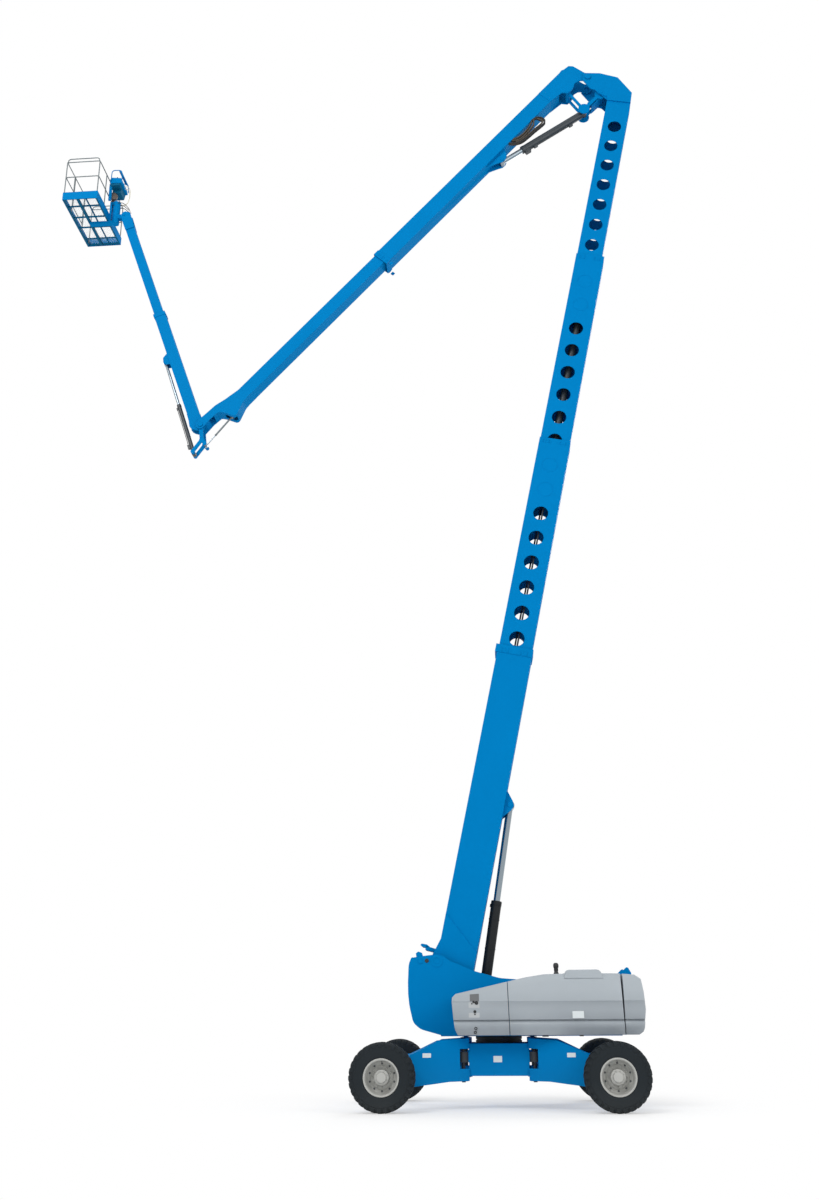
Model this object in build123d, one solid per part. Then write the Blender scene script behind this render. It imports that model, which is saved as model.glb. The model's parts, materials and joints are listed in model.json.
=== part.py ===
"""Articulating boom lift, one solid per named piece.  Units mm.

Frame: origin on the ground under the slewing axis, +X towards the
counterweight, +Z up.  The pieces are drawn in the rest pose: primary boom
raised and drawn out, secondary boom folded down to -X, jib raised.
"""
import math
import os
from build123d import *

# ---- boom frames: pivot (X, Z) and elevation in degrees --------------------
P_PIV, P_ANG = (-1120.0, 2550.0), 77.7        # primary boom
S_ORG, S_ANG = (2660.0, 23330.0), 227.7       # secondary boom's drawing origin
E_PIV = (2876.0, 23406.0)                     # elbow pin
Q_PIV, J_ANG = (-6360.0, 14265.0), 109.75     # jib
W_PIV = (-8620.0, 20200.0)                    # platform levelling pin
R_X = -8850.0                                 # platform rotator axis

RUN = 0.3                                     # running clearance of pins and pads

# ---- wheels and axle arms --------------------------------------------------
TYRE_R, TYRE_W, TYRE_IN = 575.0, 445.0, 292.0
WHEEL_Y = 1680.0
BEAD = TYRE_W / 2 - 22                        # tyre's bead face, from its middle
FLANGE_GAP, FLANGE_T, SEAT_R, FLANGE_R = 1.5, 16.0, 291.0, 312.0
DISC = (-35.0, -8.0)                          # wheel disc, from the tyre's middle
SPINDLE_R, SPINDLE_GAP = 60.0, 1.0
KING = (2020.0, 1220.0)
HINGE = (640.0, 780.0)
HINGE_Z = (475.0, 678.0, 784.0, 959.0, 1011.0, 1190.0)
ARM_L = math.hypot(KING[0] - HINGE[0], KING[1] - HINGE[1])
ARM_A = math.degrees(math.atan2(KING[1] - HINGE[1], KING[0] - HINGE[0]))
CORNERS = {"front_near": (-1, -1), "front_far": (-1, 1),
           "rear_near": (1, -1), "rear_far": (1, 1)}

# ---- primary boom: (start, end, low side, high side, half width, wall) -----
BASE = (-250.0, 6410.0, -705.0, 15.0, 260.0, 10.0)
SECOND = (5110.0, 11270.0, -687.0, -3.0, 242.0, 9.0)
THIRD = (9955.0, 16115.0, -670.0, -20.0, 225.0, 9.0)
FLY = (14815.0, 20600.0, -612.0, -38.0, 206.0, 8.0)
HOLE_R, HOLE_STEP = 165.0, 574.0
FIRST_HOLE = {"second": 9465.0, "third": 14116.0, "fly": 19850.0}   # top hole's centre
HOLE_COUNT = {"second": 6, "third": 6, "fly": 8}
HOLE_N = -335.0
LIFT_LOW, LIFT_LUG = (-330.0, 1550.0), (3205.0, -806.0)

# ---- secondary boom and jib ------------------------------------------------
S_BASE = (560.0, 6930.0, -545.0, -160.0, 190.0, 10.0)
S_FLY = (5500.0, 11600.0, -527.0, -235.0, 168.0, 8.0)
J_BASE = (160.0, 3280.0, -50.0, 213.0, 115.0, 8.0)
J_FLY = (2600.0, 6050.0, -20.0, 198.0, 96.0, 7.0)
LINK_A, LINK_J, LINK_B = (2379.0, 23080.0), (2743.0, 22515.0), (3164.0, 22929.0)
CYL_C = (697.0, 21186.0)
LINK_A_Y, LINK_B_Y, LINK_A_SEAT = (100.0, 128.0), (138.0, 166.0), 165.0
FOLD_PIN = 32.0
LEVEL_PIN = (-5674.0, 14527.0)
BELL_ROD, BELL_CYL = (-6244.0, 13802.0), (-6510.0, 13610.0)
JIB_LUG = (1925.0, 312.0)

# ---- platform --------------------------------------------------------------
PF = (-9870.0, -9010.0, -915.0, 915.0, 20150.0)   # x0 x1 y0 y1 floor top
RAIL_TOP = 21250.0
RR, POST_R, TOE = 15.0, 18.0, 6.0
INSET = TOE + 2 + POST_R                      # rails' centre line inside the toe board


def bx(x0, x1, y0, y1, z0, z1):
    return Pos((x0 + x1) / 2, (y0 + y1) / 2, (z0 + z1) / 2) * Box(
        abs(x1 - x0), abs(y1 - y0), abs(z1 - z0))


def plate(pts, y0, y1):
    """A polygon of (x, z) points drawn out from y0 to y1."""
    y0, y1 = min(y0, y1), max(y0, y1)
    pl = Plane(origin=(0, y1, 0), x_dir=(1, 0, 0), z_dir=(0, -1, 0))
    return extrude(pl * make_face(Polyline(*pts, close=True)), y1 - y0)


def slab(pts, z0, z1):
    """A polygon of (x, y) points drawn up from z0 to z1."""
    return extrude(Pos(0, 0, z0) * make_face(Polyline(*pts, close=True)), z1 - z0)


def ycyl(x, z, r, y0, y1):
    return Pos(x, (y0 + y1) / 2, z) * Rot(90, 0, 0) * Cylinder(r, abs(y1 - y0))


def zcyl(x, y, r, z0, z1):
    return Pos(x, y, (z0 + z1) / 2) * Cylinder(r, abs(z1 - z0))


def xcyl(x0, x1, y, z, r):
    return Pos((x0 + x1) / 2, y, z) * Rot(0, 90, 0) * Cylinder(r, abs(x1 - x0))


def at(piv, ang):
    return Pos(piv[0], 0, piv[1]) * Rot(0, -ang, 0)


def local(piv, ang, p):
    """World (X, Z) of a point given in a boom's own frame."""
    c, s = math.cos(math.radians(ang)), math.sin(math.radians(ang))
    return (piv[0] + p[0] * c - p[1] * s, piv[1] + p[0] * s + p[1] * c)


def unlocal(piv, ang, q):
    c, s = math.cos(math.radians(ang)), math.sin(math.radians(ang))
    dx, dz = q[0] - piv[0], q[1] - piv[1]
    return (dx * c + dz * s, -dx * s + dz * c)


def box_tube(t):
    x0, x1, z0, z1, w, th = t
    return bx(x0, x1, -w, w, z0, z1) - bx(x0 - 10, x1 + 10, -w + th, w - th,
                                          z0 + th, z1 - th)


def collar(t, length, out_low, out_high, out_side):
    x0, x1, z0, z1, w, th = t
    return bx(x1 - length, x1, -w - out_side, w + out_side,
              z0 - out_low, z1 + out_high) - bx(
        x1 - length - 10, x1 + 10, -w + th, w - th, z0 + th, z1 - th)


def tail_pads(inner, outer, start=40.0, length=160.0):
    """Four wear pads on a section's tail, RUN short of the outer section."""
    x0, z0, z1, w = inner[0] + start, inner[2], inner[3], inner[4]
    oz0, oz1 = outer[2] + outer[5] + RUN, outer[3] - outer[5] - RUN
    ow = outer[4] - outer[5] - RUN
    x1 = x0 + length
    p = bx(x0, x1, -w * 0.6, w * 0.6, oz0, z0 + 2) + bx(x0, x1, -w * 0.6, w * 0.6, z1 - 2, oz1)
    zm, h = (z0 + z1) / 2, (z1 - z0) * 0.3
    p += bx(x0, x1, -ow, -w + 2, zm - h, zm + h) + bx(x0, x1, w - 2, ow, zm - h, zm + h)
    return p


def row_of_holes(first, number, w):
    s = ycyl(first, HOLE_N, HOLE_R, -w - 20, w + 20)
    for i in range(1, number):
        s += ycyl(first - i * HOLE_STEP, HOLE_N, HOLE_R, -w - 20, w + 20)
    return s


def link(p, q, r, w, y0, y1):
    """A bar with round ends between two (x, z) points."""
    a = math.atan2(q[1] - p[1], q[0] - p[0])
    nx, nz = -math.sin(a) * w / 2, math.cos(a) * w / 2
    b = plate([(p[0] + nx, p[1] + nz), (q[0] + nx, q[1] + nz),
               (q[0] - nx, q[1] - nz), (p[0] - nx, p[1] - nz)], y0, y1)
    return b + ycyl(p[0], p[1], r, y0, y1) + ycyl(q[0], q[1], r, y0, y1)


def cylinder(p, q, r_barrel, r_rod, barrel_len, w_eye, r_eye, r_pin, closing, neck):
    """Barrel from pin p and rod to pin q, with room for the rod to close further."""
    ln = math.hypot(q[0] - p[0], q[1] - p[1])
    ang = math.degrees(math.atan2(q[1] - p[1], q[0] - p[0]))
    start = r_eye + neck
    barrel = (xcyl(start, barrel_len, 0, 0, r_barrel)
              + bx(0, start + 10, -w_eye * 0.8, w_eye * 0.8, -r_eye * 0.75, r_eye * 0.75)
              - xcyl(start + 40, barrel_len + 5, 0, 0, r_rod + RUN)
              + ycyl(0, 0, r_eye, -w_eye, w_eye)
              - ycyl(0, 0, r_pin + RUN, -w_eye - 5, w_eye + 5))
    rod = xcyl(start + 45 + closing, ln - r_eye * 0.5, 0, 0, r_rod) + ycyl(
        ln, 0, r_eye, -w_eye, w_eye)
    f = at(p, ang)
    return f * barrel, f * rod


# ---- chassis ---------------------------------------------------------------
def chassis_box():
    b = bx(-540, 540, -800, 800, 555, 1100) - bx(-522, 522, -782, 782, 573, 1082)
    for sx in (-1, 1):
        for sy in (-1, 1):
            hx, hy = sx * HINGE[0], sy * HINGE[1]
            lug = zcyl(hx, hy, 90, HINGE_Z[2], HINGE_Z[3]) + bx(
                sx * 535, hx, hy - sy * 90, hy + sy * 20, HINGE_Z[2], HINGE_Z[3])
            lug -= zcyl(hx, hy, 35 + RUN, HINGE_Z[2] - 5, HINGE_Z[3] + 5)
            b += lug
    return b


def slew_ring():
    return zcyl(0, 0, 430, 1100, 1218) - zcyl(0, 0, 330, 1095, 1225)


def hinge_pins():
    s = None
    for sx in (-1, 1):
        for sy in (-1, 1):
            c = zcyl(sx * HINGE[0], sy * HINGE[1], 35, HINGE_Z[0] - 25, HINGE_Z[5] + 18)
            s = c if s is None else s + c
    return s


def arm_frame(sx, sy):
    """Frame at an axle arm's hinge with +X along the arm."""
    a = math.degrees(math.atan2(sy * (KING[1] - HINGE[1]), sx * (KING[0] - HINGE[0])))
    return Pos(sx * HINGE[0], sy * HINGE[1], 0) * Rot(0, 0, a)


def axle_arm(sx, sy):
    side = [(-85, HINGE_Z[0]), (300, 467), (920, 395), (ARM_L, 400), (ARM_L, 868),
            (1075, 890), (455, 1155), (-85, HINGE_Z[5])]
    plan = [(-85, -95), (60, -150), (620, -130), (850, -98), (ARM_L, -98),
            (ARM_L, 98), (850, 98), (620, 130), (60, 150), (-85, 95)]
    a = plate(side, -160, 160) & slab(plan, 380, 1200)
    a += zcyl(ARM_L, 0, 98, 400, 868)
    a -= zcyl(ARM_L, 0, 35 + RUN, 390, 880)
    a -= zcyl(0, 0, 35 + RUN, 440, 1220)
    a -= zcyl(0, 0, 112, HINGE_Z[1], HINGE_Z[4]) + bx(
        -120, 105, -165, 165, HINGE_Z[1], HINGE_Z[4])
    # the arm is a welded box
    a -= plate([(190, 500), (900, 425), (1250, 430), (1250, 840), (1060, 862),
                (440, 1125), (190, 1150)], -75, 75)
    return arm_frame(sx, sy) * a


def knuckle(sx, sy):
    kx, ky = sx * KING[0], sy * KING[1]
    k = zcyl(kx, ky, 100, 878, 940) + zcyl(kx, ky, 100, 330, 392)
    k += bx(kx - 100, kx + 100, ky, ky + sy * 165, 878, 940)
    k += bx(kx - 100, kx + 100, ky, ky + sy * 165, 330, 392)
    k += bx(kx - 115, kx + 115, ky + sy * 125, ky + sy * 165, 330, 940)
    k += zcyl(kx, ky, 35, 330, 950)
    k += ycyl(kx, TYRE_R, 190, sy * (KING[1] + 160), sy * (WHEEL_Y + DISC[0] - 45))
    k += ycyl(kx, TYRE_R, SPINDLE_R, sy * (WHEEL_Y + DISC[0] - 55),
              sy * (WHEEL_Y + DISC[1] - 12 - SPINDLE_GAP))
    return k


def rim(sx, sy):
    kx = sx * KING[0]

    def ring(r, y0, y1):
        return ycyl(kx, TYRE_R, r, sy * (WHEEL_Y + y0), sy * (WHEEL_Y + y1))

    face = BEAD + FLANGE_GAP
    well = SEAT_R - 29
    r = ring(SEAT_R, -face - 6, face + 6)
    for side in (-1, 1):
        r += ring(FLANGE_R, side * face, side * (face + FLANGE_T))
    r -= ring(well, -face - FLANGE_T - 5, DISC[0])
    r -= ring(well, DISC[1], face + FLANGE_T + 5)
    r -= ring(SPINDLE_R + RUN, DISC[0] - 5, DISC[1] - 12)
    r += ring(130, DISC[1] - 12, 120) + ring(85, 115, 170)
    return r


def tyre(sx, sy):
    hw = TYRE_W / 2
    half = [(TYRE_IN, BEAD), (FLANGE_R + 0.5, BEAD), (330, hw - 6), (430, hw),
            (TYRE_R - 70, hw - 8), (TYRE_R - 19, hw - 40), (TYRE_R, hw - 80)]
    prof = [(r, -y) for r, y in half] + half[::-1]
    f = make_face(Polyline(*prof, close=True))
    t = revolve(f, Axis.Y)
    return Pos(sx * KING[0], sy * WHEEL_Y, TYRE_R) * t


# ---- turntable -------------------------------------------------------------
DOOR_HINGE = (475.0, 2235.0)                  # |y|, z of the cowl doors' hinge line
DOOR_HINGE_X = (1000.0, 2150.0)
TT_SIDE = [(-1000, 1218), (-1043, 1235), (-1437, 1343), (-1570, 1458), (-1640, 1750),
           (-1662, 1960), (-1665, 2167), (-1650, 2500), (-1600, 2610), (-1430, 2635),
           (-1260, 2655), (-1120, 2672), (-1000, 2645), (-900, 2560), (-425, 2364), (54, 2234),
           (600, 2190), (1000, 1800), (2255, 1800), (2255, 1218)]


def turntable_frame():
    t = bx(-1000, 2255, -440, 440, 1218, 1250)
    t += bx(-690, 2255, -1150, 1150, 1240, 1252)
    for sy in (-1, 1):
        s = plate(TT_SIDE, sy * 400, sy * 440)
        s += ycyl(P_PIV[0], P_PIV[1], 110, sy * 300, sy * 450)
        s -= ycyl(P_PIV[0], P_PIV[1], 58 + RUN, sy * 290, sy * 460)
        for hx in DOOR_HINGE_X:
            s += bx(hx + 20, hx + 36, sy * 405, sy * (DOOR_HINGE[0] + 8), 2140, 2180)
            s += bx(hx + 20, hx + 36, sy * 405, sy * 430, 1790, 2180)
            s += bx(hx + 20, hx + 36, sy * (DOOR_HINGE[0] - 10), sy * (DOOR_HINGE[0] + 10),
                    2150, DOOR_HINGE[1] + 10)
            s += xcyl(hx - 6, hx + 25, sy * DOOR_HINGE[0], DOOR_HINGE[1], 8)
        t += s
        c = plate([(-520, 1250), (-430, 1600), (-330, 1650), (-230, 1600),
                   (-140, 1250)], sy * 125, sy * 165)
        t += c + ycyl(LIFT_LOW[0], LIFT_LOW[1], 60, sy * 112, sy * 175)
    t += ycyl(LIFT_LOW[0], LIFT_LOW[1], 40, -185, 185)
    out = TT_SIDE[1:9]
    inn = [(x + 16, z + 12) for x, z in out]
    t += plate(out + inn[::-1], -405, 405)
    t += bx(-1060, -990, -400, 400, 1218, 1250)
    return t


def counterweight():
    pts = [(2255, 1262), (2512, 1262), (2585, 1336), (2629, 1663), (2612, 1964),
           (2580, 2177), (2475, 2253), (2255, 2270)]
    c = plate(pts, -1195, 1195) - bx(2200, 2700, -450, 450, 1800, 2400)
    return c - bx(2200, 2385, -185, 185, 1735, 1810)


def boom_rest():
    s = None
    for sy in (-1, 1):
        c = plate([(2270, 2269.1), (2275, 2295), (2375, 2390), (2392, 2403), (2414, 2403),
                   (2430, 2390), (2480, 2300), (2470, 2253.7)], sy * 466, sy * 500)
        s = c if s is None else s + c
    return s


def rest_pad():
    return bx(2395, 2500, -230, 230, 1800, 1838)


def engine_block():
    return bx(650, 1950, 520, 1080, 1252, 1930)


def tank_block():
    return bx(650, 1950, -1080, -520, 1252, 1880)


F_COWL = [(-716, 1262), (-763, 1337), (-792, 1500), (-818, 1800), (-812, 1880),
          (-752, 1942), (186, 2149), (206, 1262)]


def shrink(pts, d):
    """Polygon moved inwards by d (any turning direction)."""
    n = len(pts)
    area = sum(pts[i][0] * pts[(i + 1) % n][1] - pts[(i + 1) % n][0] * pts[i][1]
               for i in range(n))
    s = 1 if area > 0 else -1
    out = []
    for i in range(n):
        p0, p1, p2 = pts[i - 1], pts[i], pts[(i + 1) % n]
        d1 = (p1[0] - p0[0], p1[1] - p0[1])
        d2 = (p2[0] - p1[0], p2[1] - p1[1])
        l1, l2 = math.hypot(*d1), math.hypot(*d2)
        n1 = (-d1[1] / l1 * s, d1[0] / l1 * s)
        n2 = (-d2[1] / l2 * s, d2[0] / l2 * s)
        k = 1 + n1[0] * n2[0] + n1[1] * n2[1]
        out.append((p1[0] + d * (n1[0] + n2[0]) / k, p1[1] + d * (n1[1] + n2[1]) / k))
    return out


def shell(pts, y_in, y_out, th, sy, end_walls=True):
    """A cowl open at its inner side and underneath."""
    a = plate(pts, sy * y_in, sy * y_out)
    inner = shrink(pts, th)
    low = min(p[1] for p in pts)
    b = plate(inner, sy * (y_in - 5), sy * (y_out - th))
    x0 = min(p[0] for p in inner if p[1] < low + 60) + 5
    x1 = max(p[0] for p in inner if p[1] < low + 60) - 5
    b += bx(x0, x1, sy * (y_in - 5), sy * (y_out - th), low - 5, low + th + 10)
    return a - b


def front_cowls():
    return shell(F_COWL, 440, 1195, 12, -1) + shell(F_COWL, 440, 1195, 12, 1)


D_COWL = [(216, 1262), (196, 2151), (526, 2224), (849, 2273), (1235, 2282),
          (1268, 2338), (1300, 2346), (1790, 2350), (1840, 2340), (1905, 2284), (2215, 2274),
          (2245, 1262)]


def cowl_door(sy):
    d = shell(D_COWL, 455, 1200, 12, sy)
    y, z = DOOR_HINGE
    for hx in DOOR_HINGE_X:
        lug = bx(hx, hx + 12, sy * (y - 18), sy * (y + 18), z - 18, 2268)
        d += lug - xcyl(hx - 5, hx + 17, sy * y, z, 8 + RUN)
    return d


def beacon():
    return zcyl(1085, -900, 40, 2280, 2330) + zcyl(1085, -900, 30, 2330, 2440) + (
        Pos(1085, -900, 2440) * Sphere(38))


# ---- primary boom ----------------------------------------------------------
def primary_base():
    b = box_tube(BASE) + collar(BASE, 170, 12, 45, 12)
    b += ycyl(0, 0, 85, -285, 285) + ycyl(0, 0, 58, -445, 445)
    for sy in (-1, 1):
        b += plate([(-250, -705), (-250, 60), (-120, 110), (110, 110), (420, 15),
                    (900, 15), (300, -705)], sy * 255, sy * 285)
        lug = plate([(2930, -700), (3110, -860), (3205, -893), (3290, -850), (3480, -700)],
                    sy * 115, sy * 155)
        b += lug + ycyl(LIFT_LUG[0], LIFT_LUG[1], 50, sy * 108, sy * 168)
    b += plate([(150, 10), (160, 270), (215, 280), (235, 250), (215, 10)], -180, 180)
    b += bx(-250, -238, -255, 255, -700, 10)
    return at(P_PIV, P_ANG) * b


def primary_tube(t, which, outer):
    b = box_tube(t) - row_of_holes(FIRST_HOLE[which], HOLE_COUNT[which], t[4])
    b += tail_pads(t, outer)
    return at(P_PIV, P_ANG) * b


def extend_cylinder():
    return at(P_PIV, P_ANG) * (xcyl(9960, 15900, 0, HOLE_N, 85)
                               + bx(9960, 9990, -90, 90, THIRD[2] + THIRD[5], THIRD[3] - THIRD[5]))


def service_rods():
    s = None
    for sy in (-1, 1):
        c = xcyl(5300, 10900, sy * 130, HOLE_N + sy * 30, 18)
        s = c if s is None else s + c
    s += bx(5290, 5330, -SECOND[4] + SECOND[5], SECOND[4] - SECOND[5], -400, -270)
    return at(P_PIV, P_ANG) * s


HEAD = [(20600, -612), (20893, -600), (21315, -188), (21385, 266), (21340, 664), (21140, 660),
        (21093, 616), (20973, 498), (20897, 420), (20861, 283), (20776, 205), (20750, 125),
        (20711, -11), (20600, -38)]


def elbow_head():
    h = None
    for sy in (-1, 1):
        s = plate(HEAD, sy * 212, sy * 240)
        h = s if h is None else h + s
    e = unlocal(P_PIV, P_ANG, E_PIV)
    b = unlocal(P_PIV, P_ANG, LINK_B)
    # top and outer skin between the plates, and the flange on the fly tube
    out = HEAD[0:2] + [(21250, -251)]
    inn = [(max(x - 12, 20600), z + 14) for x, z in out]
    h += plate(out + inn[::-1], -214, 214)
    h += bx(20600, 20640, -214, 214, -612, -38) - bx(20590, 20650, -180, 180, -580, -70)
    h += ycyl(e[0], e[1], 62, -262, -196) + ycyl(e[0], e[1], 62, 196, 262)
    h += ycyl(b[0], b[1], 45, -214, 214)
    for sy in (-1, 1):
        h += plate([(20630, -420), (20630, -20), (b[0] - 60, b[1] - 20), (b[0] - 20, b[1] + 55),
                    (b[0] + 55, b[1] + 40), (b[0] + 70, b[1] - 60)], sy * 202, sy * 214)
    return at(P_PIV, P_ANG) * h


# ---- elbow linkage and lift cylinders --------------------------------------
def lift_parts():
    return cylinder(LIFT_LOW, local(P_PIV, P_ANG, LIFT_LUG), 100, 65, 2150, 100, 92, 40, 1620, 83)


def sec_cyl_parts():
    return cylinder(LINK_J, CYL_C, 88, 58, 1695, 80, 65, FOLD_PIN, 262, 55)


def link_b():
    s = None
    for sy in (-1, 1):
        c = link(LINK_B, LINK_J, 140, 78, sy * LINK_B_Y[0], sy * LINK_B_Y[1])
        s = c if s is None else s + c
    s += ycyl(LINK_B[0], LINK_B[1], 72, -LINK_B_Y[1], LINK_B_Y[1])
    # webs that close the link between its two pins
    f = at(LINK_B, math.degrees(math.atan2(LINK_J[1] - LINK_B[1], LINK_J[0] - LINK_B[0])))
    for z in (-70, 58):
        s += f * bx(60, 390, -LINK_B_Y[0] - 2, LINK_B_Y[0] + 2, z, z + 12)
    return s - ycyl(LINK_B[0], LINK_B[1], 45 + RUN, -220, 220)


def link_a():
    s = None
    for sy in (-1, 1):
        c = link(LINK_A, LINK_J, 64, 66, sy * LINK_A_Y[0], sy * LINK_A_Y[1])
        s = c if s is None else s + c
    s += ycyl(LINK_J[0], LINK_J[1], FOLD_PIN, -LINK_A_Y[1], LINK_A_Y[1])
    return s + ycyl(LINK_A[0], LINK_A[1], 60, -LINK_A_SEAT, LINK_A_SEAT)


# ---- secondary boom --------------------------------------------------------
def secondary_base():
    f = at(S_ORG, S_ANG)
    b = box_tube(S_BASE) + collar(S_BASE, 150, 12, 12, 12)
    e = unlocal(S_ORG, S_ANG, E_PIV)
    a = unlocal(S_ORG, S_ANG, LINK_A)
    c = unlocal(S_ORG, S_ANG, CYL_C)
    low = S_BASE[3]
    for sy in (-1, 1):
        b += plate([(-262, 214), (-320, 130), (-322, 20), (-290, -60), (-274, -413), (-209, -508),
                    (-63, -527), (3, -560), (105, -545), (900, -545), (900, low), (520, -110),
                    (440, 20), (330, 30), (231, 11), (112, -50), (-7, -20), (-80, 60),
                    (-110, 190), (-180, 232)], sy * 172, sy * 200)
        b += plate([(c[0] - 266, low - 4), (c[0] - 146, c[1] + 24), (c[0] - 46, c[1] + 64),
                    (c[0] + 54, c[1] + 54), (c[0] + 134, c[1] + 4), (c[0] + 440, low - 4)],
                   sy * 86, sy * 116)
        b += ycyl(a[0], a[1], 60, sy * (LINK_A_SEAT + RUN), sy * 205)
        b += ycyl(c[0], c[1], 42, sy * 86, sy * 130)
    b += plate([(3, -560), (105, -545), (640, -545), (640, -531), (105, -531), (10, -546)],
               -185, 185)
    b -= ycyl(e[0], e[1], 62 + RUN, -210, 210)
    return f * b


def secondary_fly():
    f = at(S_ORG, S_ANG)
    b = box_tube(S_FLY) + tail_pads(S_FLY, S_BASE)
    q = unlocal(S_ORG, S_ANG, Q_PIV)
    lp = unlocal(S_ORG, S_ANG, LEVEL_PIN)
    low = [(11590, S_FLY[3]), (11726, -225), (12060, -103)]
    neck = [(12205, -360), (12275, -480), (12420, -491)]
    high = [(12500, -668), (12209, -652), (11950, -585), (11600, -527)]
    goose = [(11380, S_FLY[3])] + low + [(12125, -130)] + neck + [
        (12500, -500), (q[0] + 60, q[1] + 90),
        (q[0] + 110, q[1]), (q[0] + 70, q[1] - 90), (q[0] - 40, q[1] - 118)] + high
    for sy in (-1, 1):
        b += plate(goose, sy * 150, sy * 176)
        b += ycyl(lp[0], lp[1], 40, sy * 66, sy * 160)
    b += ycyl(lp[0], lp[1], 22, -150, 150)
    b += plate(high + [(x, z + 14) for x, z in high[::-1]], -155, 155)
    b += plate(low + [(x - 4, z - 14) for x, z in low[::-1]], -155, 155)
    b += plate(neck + [(x - 8, z - 12) for x, z in neck[::-1]], -155, 155)
    b -= ycyl(q[0], q[1], 44 + RUN, -200, 200)
    return f * b


# ---- jib -------------------------------------------------------------------
def jib_bellcrank():
    s, fork = None, (-6315, 13895)            # where the two lobes part
    for sy in (-1, 1):
        c = link(Q_PIV, fork, 58, 92, sy * 120, sy * 145)
        c += link(fork, BELL_ROD, 42, 80, sy * 120, sy * 145)
        c += link(fork, BELL_CYL, 46, 86, sy * 120, sy * 145)
        c += ycyl(BELL_CYL[0], BELL_CYL[1], 42, sy * 66, sy * 150)
        s = c if s is None else s + c
    s += ycyl(Q_PIV[0], Q_PIV[1], 44, -190, 190)
    s += ycyl(BELL_CYL[0], BELL_CYL[1], 26, -100, 100)
    return s


def level_parts():
    return cylinder(LEVEL_PIN, BELL_ROD, 28, 17, 600, 60, 38, 22, 205, 76)


def jib_base():
    b = box_tube(J_BASE) + collar(J_BASE, 90, 14, 14, 10)
    for sy in (-1, 1):
        b += plate([(-98, 0), (-98, 66), (-60, 140), (-24, 187), (30, 232), (89, 252), (233, 229),
                    (420, 220), (420, -57), (151, -61), (20, -80), (-62, -64)],
                   sy * 85, sy * 115)
        b += plate([(1850, 207), (1882, 325), (1905, 350), (1955, 354), (2065, 326),
                    (2150, 207)], sy * 70, sy * 98)
        b += ycyl(JIB_LUG[0], JIB_LUG[1], 34, sy * 66, sy * 104)
    b -= ycyl(0, 0, 44 + RUN, -130, 130)
    return at(Q_PIV, J_ANG) * b


def jib_fly():
    w = unlocal(Q_PIV, J_ANG, W_PIV)
    b = box_tube(J_FLY) + tail_pads(J_FLY, J_BASE, 30.0, 110.0)
    for sy in (-1, 1):
        b += plate([(5900, -26), (5900, 204), (6155, 208), (w[0], w[1] + 75),
                    (w[0] + 70, w[1] + 10), (w[0] + 75, w[1] - 62), (w[0] - 5, w[1] - 164),
                    (6100, -34)], sy * 90, sy * 118)
    b -= ycyl(w[0], w[1], 35 + RUN, -130, 130)
    return at(Q_PIV, J_ANG) * b


def jib_cyl_parts():
    return cylinder(BELL_CYL, local(Q_PIV, J_ANG, JIB_LUG), 46, 33, 1350, 60, 46, 26, 1050, 72)


# ---- platform --------------------------------------------------------------
def platform_mount():
    wx, wz = W_PIV
    m = ycyl(wx, wz, 60, -84, 84) + ycyl(wx, wz, 35, -128, 128)
    m += bx(R_X, wx - 20, -60, 60, wz - 55, wz + 55)
    m += zcyl(R_X, 0, 88, 20095, 20560)
    return m


def platform_support():
    s = zcyl(R_X, 0, 88, 20560 + RUN, 20640) + zcyl(R_X, 0, 88, 20020, 20095 - RUN)
    s += bx(-9480, R_X, -60, 60, 20020, 20085)
    s += bx(-9000, R_X, -60, 60, 20575, 20640) + bx(-9010, -8960, -60, 60, 20020, 20640)
    return s


def platform_floor():
    x0, x1, y0, y1, z = PF
    f = bx(x0, x1, y0, y1, z - 20, z)
    step = INSET + POST_R + 6                 # the tread stands 3 mm proud inside the posts
    f += bx(x0 + step, x1 - step, y0 + step, y1 - step, z - 1, z + 3)
    f += bx(x0, x0 + TOE, y0, y1, z, z + 150) + bx(x1 - TOE, x1, y0, y1, z, z + 150)
    f += bx(x0, x1, y0, y0 + TOE, z, z + 150) + bx(x0, x1, y1 - TOE, y1, z, z + 150)
    for x in (x0, (x0 + x1) / 2 - 20, x1 - 40):
        f += bx(x, x + 40, y0, y1, z - 60, z - 20)
    for y in (y0, -480, -80, 40, 440, y1 - 40):
        f += bx(x0, x1, y, y + 40, z - 60, z - 20)
    return f


GAP = 2 * POST_R + RUN
GATE = (-330.0, 330.0)


def rod_between(a, b, r=RR):
    v = (b[0] - a[0], b[1] - a[1], b[2] - a[2])
    ln = math.sqrt(sum(c * c for c in v))
    mid = tuple((a[i] + b[i]) / 2 for i in range(3))
    return Plane(origin=mid, z_dir=v) * Cylinder(r, ln)


def platform_rails():
    x0, x1, y0, y1, z = PF
    x0, x1, y0, y1 = x0 + INSET, x1 - INSET, y0 + INSET, y1 - INSET
    s = None
    posts = [(x0, y0), (x0, y1), (x1, y0), (x1, y1), (x0, GATE[0] - GAP), (x0, GATE[1] + GAP),
             (x1, -380), (x1, 380)]
    for px, py in posts:
        c = rod_between((px, py, z), (px, py, RAIL_TOP + POST_R), POST_R)
        s = c if s is None else s + c
    for h in (RAIL_TOP, z + 610):
        for a, b in (((x0, y0), (x1, y0)), ((x0, y1), (x1, y1)), ((x1, y0), (x1, y1)),
                     ((x0, y0), (x0, GATE[0] - GAP)), ((x0, GATE[1] + GAP), (x0, y1))):
            s += rod_between((a[0], a[1], h), (b[0], b[1], h))
    return s


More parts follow.
